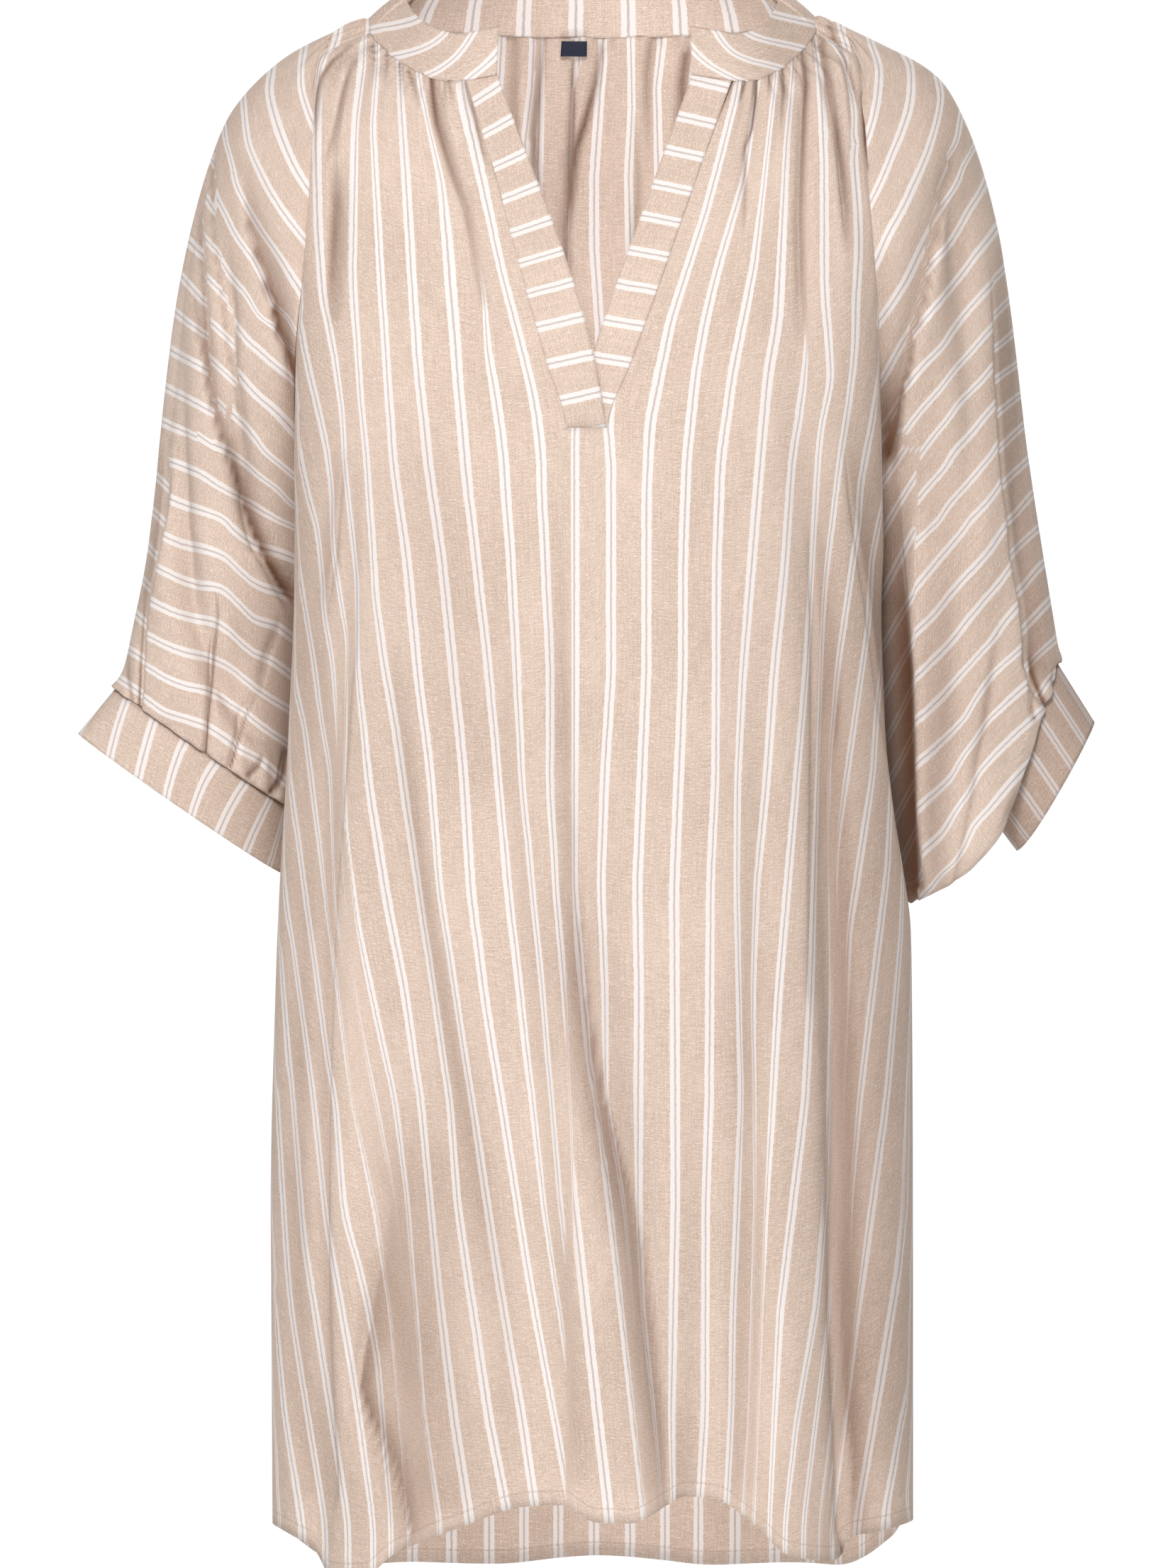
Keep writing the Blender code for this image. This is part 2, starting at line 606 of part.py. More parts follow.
def make_placket(side, over):
    """One band of the slit. Below the V, the one that lies over comes forward and the other goes back."""
    rows = body_rows()
    rows = rows[rows < SLIT_ROW + 1e-6]
    edge = stacked(FRONT_INNER.read(side + "_x", rows), *FRONT_INNER.point("y z", rows).T)
    edge[:, 2] = np.maximum(edge[:, 2], SLIT_END_Z + SLIT_END_ROOM)
    inner = edge.copy()
    inner[:, 0] = PLACKET_INNER[side].read("x", edge[:, 2])
    inner[0] = (SIDES[side] * PLACKET_TOP_X, PLACKET_TOP_Y, PLACKET_TOP_Z)
    way = (inner - edge) / np.linalg.norm(inner - edge, axis=1, keepdims=True)
    edge += way * SEAM_GAP * 1.5
    share = np.linspace(0, 1, 5)
    grid = edge[:, None] * (1 - share[:, None]) + inner[:, None] * share[:, None]
    level = -LAP if over else LAP
    grid[..., 1] += level * PLACKET_CROSSING.read("share", edge[:, 2])[:, None] * share
    return wall("placket_" + side, grid, body_normals(grid))


def make_label():
    """A small label on the inside of the back, just under the collar."""
    grid = back_half("right", np.linspace(*LABEL_ROWS, 4), np.linspace(*LABEL_COLUMNS, 5))
    normal = body_normals(grid)
    return wall("size_label", grid - normal * LAP, normal, thickness=LABEL_WALL)


def ring_inwards(ring, distance):
    way = ring.mean(axis=0) - ring
    return ring + way / np.linalg.norm(way, axis=1, keepdims=True) * distance


def make_cuff(side):
    """A band whose top edge lies just inside the sleeve's end."""
    turns = np.linspace(0, 1, SLEEVE_COLUMNS + 1)
    top = ring_inwards(sleeve_grid(side, np.array([2.0]), turns)[0], LAP)
    centre = top.mean(axis=0)
    foot = centre + CUFFS[side]["drop"] + (top - centre) * CUFFS[side]["flare"]
    share = np.linspace(0, 1, 4)[:, None, None]
    grid = top[None] * (1 - share) + foot[None] * share
    normal = outward(grid, normals_of(grid), grid.mean(axis=(0, 1)))
    return wall("cuff_" + side, grid, normal, merge_from=0)


def shade(pieces, name, colour, roughness):
    material = bpy.data.materials.new(name)
    material.use_nodes = True
    surface = material.node_tree.nodes["Principled BSDF"]
    surface.inputs["Base Color"].default_value = (*colour, 1.0)
    surface.inputs["Roughness"].default_value = roughness
    for piece in pieces:
        piece.data.materials.append(material)


def main():
    for thing in list(bpy.data.objects):
        bpy.data.objects.remove(thing, do_unlink=True)
    rows, tube_rows = body_rows(), sleeve_rows()
    front, front_normal, keep = front_grid(rows)
    back, back_normal = back_grid(rows)
    raglan = np.nonzero(rows < 1 + 1e-6)[0]
    merged = raglan[-1]
    blend = RAGLAN_TURNING.read("share", rows[raglan])
    skirt = np.nonzero(rows > 1 - 1e-6)[0]
    sleeves = []
    for side, sign in SIDES.items():
        grid, normal = sleeve_surface(side, tube_rows)
        body_column = 0 if side == "right" else -1
        for body, column in ((front_normal, 0), (back_normal, -1)):
            first, second = body[raglan, body_column].copy(), normal[raglan, column].copy()
            share_normals(first, second, blend)
            body[raglan, body_column], normal[raglan, column] = first, second
        first, second = front_normal[skirt, body_column].copy(), back_normal[skirt, body_column].copy()
        share_normals(first, second, SIDE_TURNING.read("share", rows[skirt]))
        front_normal[skirt, body_column], back_normal[skirt, body_column] = first, second
        for body in (front, back):
            part_at_underarm(body, body_column, rows, sign, -1)
        part_at_underarm(grid, 0, tube_rows, sign, 1)
        part_at_underarm(grid, -1, tube_rows, sign, 1)
        grid[: merged] = shrink(grid[: merged])
        sleeves.append(wall("sleeve_" + side, grid, normal, merge_from=merged))
    body_pieces = [
        wall("front", shrink(front), front_normal, keep),
        wall("back", shrink(back), back_normal),
    ]
    bands = [make_collar(), make_placket("right", True), make_placket("left", False)]
    cuffs = [make_cuff(side) for side in SIDES]
    shade(body_pieces + sleeves + bands + cuffs, "striped cloth", (0.72, 0.55, 0.45), 0.8)
    shade([make_label()], "label", (0.03, 0.035, 0.06), 0.7)


main()
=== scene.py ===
"""Tunic top sewn from a light woven cloth with pairs of white pinstripes.

The shell of each cut piece lies on the middle of its solid's wall, with finer gathers and creases.
Lengths are in millimetres until the meshes are made. +X is the wearer's left, +Y the back, +Z up.
A row value r runs from 0 at the neck seam to 1 at the underarm, and to 2 at the hem or the cuff's seam.
A flat place (x, z) is where a point of the garment shows on the front elevation, drawn from 3 m away.
"""

import math

import bmesh
import bpy
import numpy as np
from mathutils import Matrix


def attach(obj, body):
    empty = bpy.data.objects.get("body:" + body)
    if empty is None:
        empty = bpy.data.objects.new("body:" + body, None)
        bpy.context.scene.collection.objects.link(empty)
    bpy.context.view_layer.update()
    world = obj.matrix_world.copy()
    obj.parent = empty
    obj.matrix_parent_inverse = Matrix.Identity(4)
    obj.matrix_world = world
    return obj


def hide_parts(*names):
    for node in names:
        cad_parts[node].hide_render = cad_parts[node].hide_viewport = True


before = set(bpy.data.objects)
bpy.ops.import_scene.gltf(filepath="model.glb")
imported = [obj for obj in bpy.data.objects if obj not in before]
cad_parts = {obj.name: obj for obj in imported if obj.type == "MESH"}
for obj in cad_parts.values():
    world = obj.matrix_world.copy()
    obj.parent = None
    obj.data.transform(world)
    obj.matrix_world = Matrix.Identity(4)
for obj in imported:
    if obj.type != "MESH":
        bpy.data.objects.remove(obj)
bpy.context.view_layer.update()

METRES = 0.001
CLOTH = 0.45  # thickness of the cloth
SEAM_LAP = 0.8  # how far a band covers the edge it is sewn to
BAND_LIFT = 0.6  # how far it stands out over that edge
LAP = 1.7  # how far a band or the label lies off the middle of its panel
COLLAR_HEIGHT = 28.0
COLLAR_LIFT = 0.3  # how far above the neck seam it starts
SLIT_ROW = 0.74  # the row of the slit's end
HEM_ROWS_FROM = 1.5  # from here down the rows take up the line of the hem
BODY_CENTRE = (0.0, 0.0, -400.0)
PLACKET_TOP = (52.0, -75.5, -35.0)  # the upper front corner of the wearer's left one

STRIPE_STEP = 20.3  # from one pair of pinstripes to the next
EYE = (-3.7, -3000.0, -415.7)  # where the front elevation is drawn from
LENS = 125.2
FLOOR_Z = -1.45  # in metres, as are the places of the lamps
FLOOR_HALF = 3.4
WORLD_GLOW, WORLD_SHOWN = 0.46, 1.05  # how bright the white all round is for the cloth and for the eye

SIDES = {"right": -1, "left": 1}
HALF_COLUMNS = 148
STRIP_COLUMNS = 6
BACK_COLUMNS = 130
SLEEVE_COLUMNS = 260
COLLAR_ROWS = 17
PLACKET_COLUMNS = 13
CUFF_ROWS, CUFF_COLUMNS = 15, 141
SLIT_ROWS, YOKE_ROWS, SKIRT_ROWS, TUBE_ROWS = 57, 18, 82, 78
ROW_CROWDING = 1.15  # how much closer the rows lie at the neck


def smooth(knots, values, at):
    """A monotone cubic through the knots."""
    knots = np.asarray(knots, float)
    values = np.asarray(values, float)
    at = np.clip(at, knots[0], knots[-1])
    step = np.diff(knots)
    slope = np.diff(values) / step
    tangent = np.zeros(len(knots))
    before, after = slope[:-1], slope[1:]
    same = before * after > 0
    weight_a = 2 * step[1:] + step[:-1]
    weight_b = step[1:] + 2 * step[:-1]
    safe_before = np.where(same, before, 1)
    safe_after = np.where(same, after, 1)
    mean = (weight_a + weight_b) / (weight_a / safe_before + weight_b / safe_after)
    tangent[1:-1] = np.where(same, mean, 0)
    tangent[0], tangent[-1] = slope[0], slope[-1]
    i = np.clip(np.searchsorted(knots, at, side="right") - 1, 0, len(step) - 1)
    x = (at - knots[i]) / step[i]
    start = values[i] * (1 + 2 * x) * (1 - x) ** 2 + tangent[i] * step[i] * x * (1 - x) ** 2
    end = values[i + 1] * x * x * (3 - 2 * x) + tangent[i + 1] * step[i] * x * x * (x - 1)
    return start + end


class Table:
    """Rows of named columns, read between the rows by a smooth curve through them."""

    def __init__(self, names, *rows):
        self.names = names.split()
        self.columns = dict(zip(self.names, np.array(rows, float).T))

    def read(self, name, at):
        return smooth(self.columns[self.names[0]], self.columns[name], at)

    def point(self, names, at):
        return np.stack([self.read(name, at) for name in names.split()], axis=-1)


# The seam of front and sleeve down to the underarm, then the side seam of front and back.
SIDE_SEAM = (
    (1.000, -160.0, 154.5, 10, -300),
    (1.200, -162.5, 159.5, 12, -390),
    (1.450, -167.5, 168.5, 12, -515),
    (1.700, -170.0, 169.0, 12, -650),
    (2.000, -170.0, 169.0, 13, -820),
)
FRONT_EDGE = Table(
    "r right_x left_x y z",
    (0.000, -122.5, 121.0, -12, -4),
    (0.114, -149.0, 143.0, -35, -23),
    (0.309, -152.5, 147.0, -65, -83),
    (0.483, -156.5, 151.5, -70, -143),
    (0.600, -160.5, 153.5, -62, -182),
    (0.776, -162.0, 155.0, -32, -237),
    *SIDE_SEAM,
)
BACK_EDGE = Table(
    "r right_x left_x y z",
    (0.000, -115.0, 114.0, 34, 6),
    (0.114, -134.0, 132.0, 52, -12),
    (0.309, -151.0, 147.0, 74, -60),
    (0.483, -157.0, 152.0, 84, -115),
    (0.600, -160.0, 154.0, 84, -155),
    (0.776, -162.0, 156.0, 62, -225),
    *SIDE_SEAM,
)

# The edge of each front half at the slit and below it, and how each row leaves that edge and meets the
# outer one. A turn is in degrees from straight sideways at the slit, and from straight back outside.
FRONT_INNER = Table(
    "r right_x left_x y z pull turn rise",
    (0.000, -68.0, 73.0, -74, -38, 22, 12, -4),
    (0.114, -61.0, 64.5, -84, -62, 38, 6, 0),
    (0.309, -47.0, 47.0, -100, -112, 52, 3, 0),
    (0.483, -34.0, 30.5, -113, -160, 60, 0, 0),
    (0.600, -25.0, 19.0, -121, -192, 68, 0, 0),
    (0.740, -14.6, 6.6, -127, -228, 76, 0, 0),
    (1.000, -14.6, 6.6, -131, -300, 85, 0, 0),
    (1.300, -14.6, 6.6, -127, -420, 88, 0, 0),
    (1.700, -14.6, 6.6, -121, -630, 92, 0, 0),
    (2.000, -14.6, 6.6, -122, -797, 92, 0, 0),
)
FRONT_OUTER = Table(
    "r pull turn drop",
    (0.000, 30, 15, 16),
    (0.114, 30, 37, 14),
    (0.309, 28, 35, 6),
    (0.483, 30, 25, 3),
    (0.600, 38, 8, 0),
    (0.776, 62, -8, 0),
    (1.000, 92, -16, 0),
    (2.000, 98, -17, 0),
)
BACK_INNER = Table(
    "r y z pull",
    (0.0, 65, 4, 62),
    (0.3, 82, -75, 80),
    (0.6, 97, -165, 88),
    (1.0, 104, -290, 92),
    (1.3, 104, -420, 92),
    (1.7, 110, -650, 95),
    (2.0, 117, -858, 95),
)
BACK_OUTER = Table(
    "r pull turn",
    (0.000, 18, 30),
    (0.114, 24, 45),
    (0.309, 22, 50),
    (0.483, 20, 45),
    (0.600, 22, 35),
    (0.776, 40, 4),
    (1.000, 62, -5),
    (2.000, 66, -8),
)

# The outer line of each sleeve and its underarm seam, with the depth of the tube before and behind them.
SLEEVES = {
    "right": Table(
        "r outer_x outer_y outer_z inner_x inner_y inner_z front back",
        (0.000, -124.0, 10, 6, -160.0, 10, -300, 6, 8),
        (0.114, -135.0, 10, 1, -160.0, 10, -300, 24, 22),
        (0.309, -169.0, 10, -15, -160.0, 10, -300, 44, 40),
        (0.483, -200.0, 10, -46, -160.0, 10, -300, 52, 50),
        (0.600, -213.0, 12, -76, -160.0, 10, -300, 56, 54),
        (0.776, -230.5, 12, -151, -160.0, 10, -300, 58, 56),
        (1.000, -243.5, 12, -264, -160.0, 10, -300, 48, 52),
        (1.150, -247.0, 12, -291, -163.8, 18, -326, 46, 51),
        (1.300, -251.5, 12, -315, -166.5, 24, -350, 44, 50),
        (1.700, -260.5, 12, -354, -168.5, 27, -402, 42, 48),
        (2.000, -265.5, 12, -362, -170.5, 28, -428, 40, 44),
    ),
    "left": Table(
        "r outer_x outer_y outer_z inner_x inner_y inner_z front back",
        (0.000, 121.5, 10, 7, 154.5, 10, -300, 6, 8),
        (0.114, 132.0, 10, 3, 154.5, 10, -300, 24, 22),
        (0.309, 160.0, 10, -9, 154.5, 10, -300, 44, 40),
        (0.483, 190.0, 10, -27, 154.5, 10, -300, 54, 50),
        (0.600, 209.0, 12, -62, 154.5, 10, -300, 58, 54),
        (0.776, 225.5, 12, -126, 154.5, 10, -300, 60, 56),
        (1.000, 239.0, 12, -232, 154.5, 10, -300, 52, 56),
        (1.300, 247.5, 12, -288, 164.0, 18, -375, 52, 56),
        (1.600, 254.0, 12, -328, 171.0, 12, -450, 52, 56),
        (1.800, 256.0, 12, -341, 177.5, 8, -481, 50, 56),
        (1.900, 256.5, 12, -345, 192.0, 8, -464, 44, 54),
        (2.000, 256.0, 12, -347, 210.0, 10, -424, 38, 50),
    ),
}
# How a row of a sleeve leaves the seam in front and the one behind: outwards, away from the arm and up.
SHOULDER_LEAVES = (
    (0.000, 0, -8, 5, 3, -8, 1),
    (0.114, 2, -16, 9, 4, -14, 8),
    (0.309, 6, -2, 24, 10, 4, 22),
    (0.483, 14, 8, 30, 14, 12, 28),
    (0.600, 20, 18, 26, 18, 20, 24),
)
SLEEVE_LEAVES = {
    "right": Table(
        "r front_out front_away front_up back_out back_away back_up",
        *SHOULDER_LEAVES,
        (0.776, 26, 34, 20, 22, 34, 18),
        (1.000, 30, 56, 12, 24, 54, 10),
        (1.300, 22, 66, 8, 16, 60, 6),
        (1.700, 12, 66, 6, 10, 58, 4),
        (2.000, 8, 58, 5, 6, 52, 4),
    ),
    "left": Table(
        "r front_out front_away front_up back_out back_away back_up",
        *SHOULDER_LEAVES,
        (0.776, 26, 36, 20, 22, 34, 18),
        (1.000, 24, 64, 10, 24, 54, 10),
        (1.300, 14, 76, 8, 16, 60, 6),
        (1.600, 12, 78, 10, 12, 58, 6),
        (1.800, 22, 70, 12, 12, 56, 8),
        (1.900, 24, 60, 10, 12, 52, 8),
        (2.000, 6, 50, 4, 8, 46, 6),
    ),
}
# The front of the left sleeve hangs over its cuff.
DROOP_LEFT = Table("r drop", (1.3, 0), (1.6, 14), (1.8, 26), (1.9, 16), (2.0, 0))
DROOP_TURN = 0.19
DROOP_WIDTH = 0.09

# Long folds of the front, as ridges that fall off more on one side. x is read at the top, the middle
# and the foot of the fold, and the height grows from the top down.
FRONT_FOLDS = (
    dict(top_z=-400, foot_z=-830, x=(-132, -131, -103), widths=(34, 11), heights=(0, 15)),
    dict(top_z=-250, foot_z=-830, x=(-104, -86, -46), widths=(30, 14), heights=(1, 5)),
    dict(top_z=-240, foot_z=-830, x=(-26, -8, 38), widths=(38, 12), heights=(1, 10)),
    dict(top_z=-120, foot_z=-830, x=(104, 128, 140), widths=(12, 16), heights=(-2, -9)),
    dict(top_z=-520, foot_z=-830, x=(92, 99, 104), widths=(18, 14), heights=(0, 7)),
    dict(top_z=-330, foot_z=-830, x=(-146, -147, -147), widths=(9, 9), heights=(-3, -5)),
)
BACK_FOLDS = (
    dict(top_z=-200, foot_z=-870, x=(-70, -90, -104), widths=(26, 22), heights=(2, 12)),
    dict(top_z=-260, foot_z=-870, x=(20, 14, 6), widths=(34, 30), heights=(2, 9)),
    dict(top_z=-220, foot_z=-870, x=(84, 96, 112), widths=(24, 26), heights=(2, 12)),
    dict(top_z=-380, foot_z=-870, x=(-30, -42, -50), widths=(20, 20), heights=(-1, -7)),
    dict(top_z=-420, foot_z=-870, x=(52, 60, 64), widths=(18, 18), heights=(-1, -7)),
)
# Creases of a sleeve, in its own rows and turns: troughs that run down from the shoulder and inwards.
SLEEVE_FOLDS = {
    "right": (
        dict(rows=(0.62, 1.02), turns=(0.26, 0.10), width=0.035, height=-6),
        dict(rows=(0.76, 1.72), turns=(0.40, 0.12), width=0.045, height=-9),
        dict(rows=(0.50, 1.10), turns=(0.44, 0.42), width=0.030, height=-3),
    ),
    "left": (
        dict(rows=(0.70, 1.90), turns=(0.24, 0.14), width=0.060, height=5),
        dict(rows=(0.55, 1.20), turns=(0.30, 0.20), width=0.040, height=-4),
        dict(rows=(0.90, 1.85), turns=(0.42, 0.38), width=0.040, height=-4),
    ),
}

# The hem's height along each half of the front, from the middle outwards.
HEM = {
    "right": Table(
        "u z",
        (0.00, -796),
        (0.08, -797),
        (0.21, -809),
        (0.32, -821),
        (0.40, -836),
        (0.52, -838),
        (0.60, -823),
        (0.76, -818),
        (1.00, -819),
    ),
    "left": Table(
        "u z",
        (0.00, -805),
        (0.04, -805),
        (0.15, -792),
        (0.21, -794),
        (0.29, -809),
        (0.35, -824),
        (0.50, -830),
        (0.58, -819),
        (0.75, -816),
        (1.00, -819),
    ),
}
STRIP_HEM = Table("u z", (0, -796), (0.74, -805), (1, -805))
BACK_HEM = Table("u z", (0, -858), (0.3, -860), (0.55, -858), (0.8, -838), (1, -819))

# How far the collar leans inwards, by the share of its seam from the front corner to the middle back.
COLLAR_LEAN = Table(
    "s degrees", (0, 18), (0.08, 22), (0.16, 40), (0.25, 54), (0.33, 52), (0.42, 30), (0.5, 22)
)
# The free edge of each placket band. Below the V each band crosses the middle.
PLACKET_INNER = {
    "right": Table("z x", (-228, 6.4), (-187, -0.8), (-35, -52)),
    "left": Table("z x", (-228, -14.0), (-187, -0.8), (-35, 52.5)),
}
# How much of the lap between the two bands there is at each height: all of it where they cross.
PLACKET_CROSSING = Table("z share", (-230, 1), (-187, 1), (-160, 0), (-30, 0))
# Where the foot of each cuff lies from its top, and how wide its ring is there.
CUFFS = {
    "right": dict(drop=(-11.0, 0.0, -31.5), flare=1.21),
    "left": dict(drop=(21.5, 0.0, -31.5), flare=0.96),
}
# Sleeve and body lie on each other near the underarm, and are moved this far apart there.
UNDERARM_PARTING = Table("r apart", (0, 0), (0.4, 0), (0.72, 0.95), (1, 1), (1.25, 0), (2, 0))
# How far the walls on both sides of the raglan seam turn to one common direction.
RAGLAN_TURNING = Table("r share", (0, 1), (0.4, 1), (0.7, 0), (2, 0))
# The label's place on the inside of the back.
LABEL_ROWS = (0.008, 0.040)
LABEL_COLUMNS = (0.0215, 0.101)
LABEL_GRID = (9, 13)
LABEL_THICKNESS = 0.6

# Where each stripe of the front runs, by flat places from its top down. Its number goes up towards the
# wearer's left. A number between two whole ones is the edge of a pleat beside the slit.
STRIPES = {
    "right": {
        -16: [(-175, -706), (-170, -764), (-160, -823)],
        -15: [(-174, -589), (-167, -706), (-148, -823)],
        -14: [(-172, -511), (-160, -667), (-136, -823)],
        -13: [(-172, -453), (-169, -484), (-157, -569), (-148, -653), (-130, -764), (-122, -823)],
        -12: [(-170, -393), (-147, -569), (-143, -589), (-139, -653), (-129, -686), (-120, -731),
            (-113, -823)],
        -11: [(-167, -337), (-164, -365), (-160, -379), (-134, -589), (-121, -647), (-113, -706),
            (-103, -823)],
        -10: [(-165, -282), (-154, -350), (-150, -383), (-145, -409), (-144, -481), (-129, -589),
            (-116, -647), (-109, -706), (-99, -823)],
        -9: [(-165, -222), (-157, -259), (-152, -275), (-149, -303), (-149, -323), (-144, -350),
            (-142, -379), (-141, -425), (-134, -530), (-111, -647), (-94, -823)],
        -8: [(-161, -170), (-147, -230), (-144, -254), (-145, -284), (-136, -337), (-139, -407),
            (-139, -444), (-132, -498), (-112, -589), (-105, -647), (-97, -764), (-88, -823)],
        -7: [(-153, -72), (-152, -111), (-149, -150), (-143, -179), (-139, -209), (-138, -240),
            (-131, -303), (-132, -351), (-126, -413), (-117, -472), (-106, -530), (-98, -589), (-87, -706),
            (-80, -764), (-71, -823)],
        -6: [(-126, -18), (-131, -53), (-133, -140), (-129, -209), (-126, -238), (-122, -314), (-117, -351),
            (-113, -370), (-82, -589), (-78, -647), (-61, -764), (-49, -823)],
        -5: [(-120, -18), (-123, -53), (-112, -238), (-104, -296), (-99, -355), (-92, -413), (-88, -472),
            (-53, -706), (-43, -764), (-35, -823)],
        -4: [(-108, -23), (-99, -179), (-93, -238), (-85, -296), (-74, -413), (-71, -472), (-64, -530),
            (-36, -706), (-14, -823)],
        -3: [(-98, -27), (-85, -82), (-73, -238), (-60, -355), (-50, -472), (-31, -647), (-14, -764),
            (-3, -823)],
        -2.45: [(-92, -27), (-90, -49), (-70, -111), (-66, -140), (-66, -170), (-65, -199), (-60, -245)],
        -2: [(-62, -156), (-61, -179), (-57, -199), (-52, -238), (-48, -296), (-43, -413), (-32, -530),
            (-23, -647), (-9, -764), (2, -823)],
        -1.55: [(-90, -27), (-88, -49), (-79, -72), (-67, -111), (-60, -140), (-54, -170), (-47, -199),
            (-42, -245)],
        -1: [(-75, -31), (-54, -131), (-36, -203), (-32, -238), (-27, -355), (-28, -413), (-25, -472),
            (-16, -589), (-8, -647), (11, -823)],
        0: [(-54, -31), (-48, -62), (-40, -92), (-34, -131), (-11, -220), (-11, -472), (-2, -569),
            (3, -593), (29, -823)],
    },
    "left": {
        0: [(40, -33), (22, -101), (3, -160), (-11, -220), (-11, -472), (-2, -569), (3, -593), (29, -823)],
        1: [(59, -33), (42, -101), (19, -160), (10, -189), (7, -212), (7, -220), (9, -238), (9, -355),
            (5, -413), (3, -472), (5, -530), (5, -589), (16, -647), (33, -823)],
        2: [(79, -33), (61, -101), (42, -160), (30, -218), (28, -257), (28, -355), (23, -472), (24, -530),
            (23, -647), (25, -706), (32, -764), (37, -823)],
        3: [(90, -23), (82, -82), (67, -131), (60, -160), (55, -189), (50, -238), (48, -296), (48, -355),
            (43, -472), (44, -647), (41, -764), (42, -823)],
        4: [(99, -23), (87, -131), (75, -189), (68, -238), (66, -296), (66, -413), (63, -472), (62, -589),
            (60, -647), (60, -764), (56, -823)],
        5: [(108, -23), (104, -62), (99, -160), (94, -189), (80, -355), (77, -413), (77, -472), (80, -589),
            (75, -706), (74, -764), (71, -823)],
        5.55: [(112, -20), (113, -156), (109, -180), (104, -200), (101, -225)],
        6: [(115, -174), (113, -199), (107, -238), (103, -296), (97, -355), (93, -413), (87, -472),
            (85, -530), (87, -647), (84, -764), (80, -823)],
        6.45: [(115, -20), (115, -156), (117.5, -180), (118, -200), (115, -225)],
        7: [(118, -4), (122, -33), (124, -72), (124, -140), (128, -195), (122, -218), (115, -351),
            (99, -530), (92, -647), (85, -823)],
        8: [(140, -75), (142, -95), (143, -121), (141, -150), (140, -179), (125, -296), (123, -323),
            (117, -530), (114, -589), (99, -706), (94, -823)],
        9: [(156, -179), (143, -254), (143, -272), (131, -350), (126, -407), (128, -530), (125, -647),
            (120, -706), (109, -764), (102, -823)],
        10: [(160, -249), (154, -268), (149, -292), (148, -328), (130, -448), (129, -472), (132, -530),
            (129, -647), (126, -706), (112, -823)],
        11: [(162, -300), (155, -337), (155, -351), (152, -374), (150, -411), (136, -498), (133, -589),
            (133, -706), (128, -764), (121, -823)],
        12: [(162, -351), (158, -463), (142, -589), (137, -647), (136, -706), (131, -764), (123, -823)],
        13: [(167, -409), (165, -498), (157, -589), (140, -706), (126, -823)],
        14: [(170, -444), (171, -530), (168, -589), (167, -647), (163, -686), (140, -823)],
        15: [(171, -706), (170, -745), (165, -764), (155, -819)],
    },
}
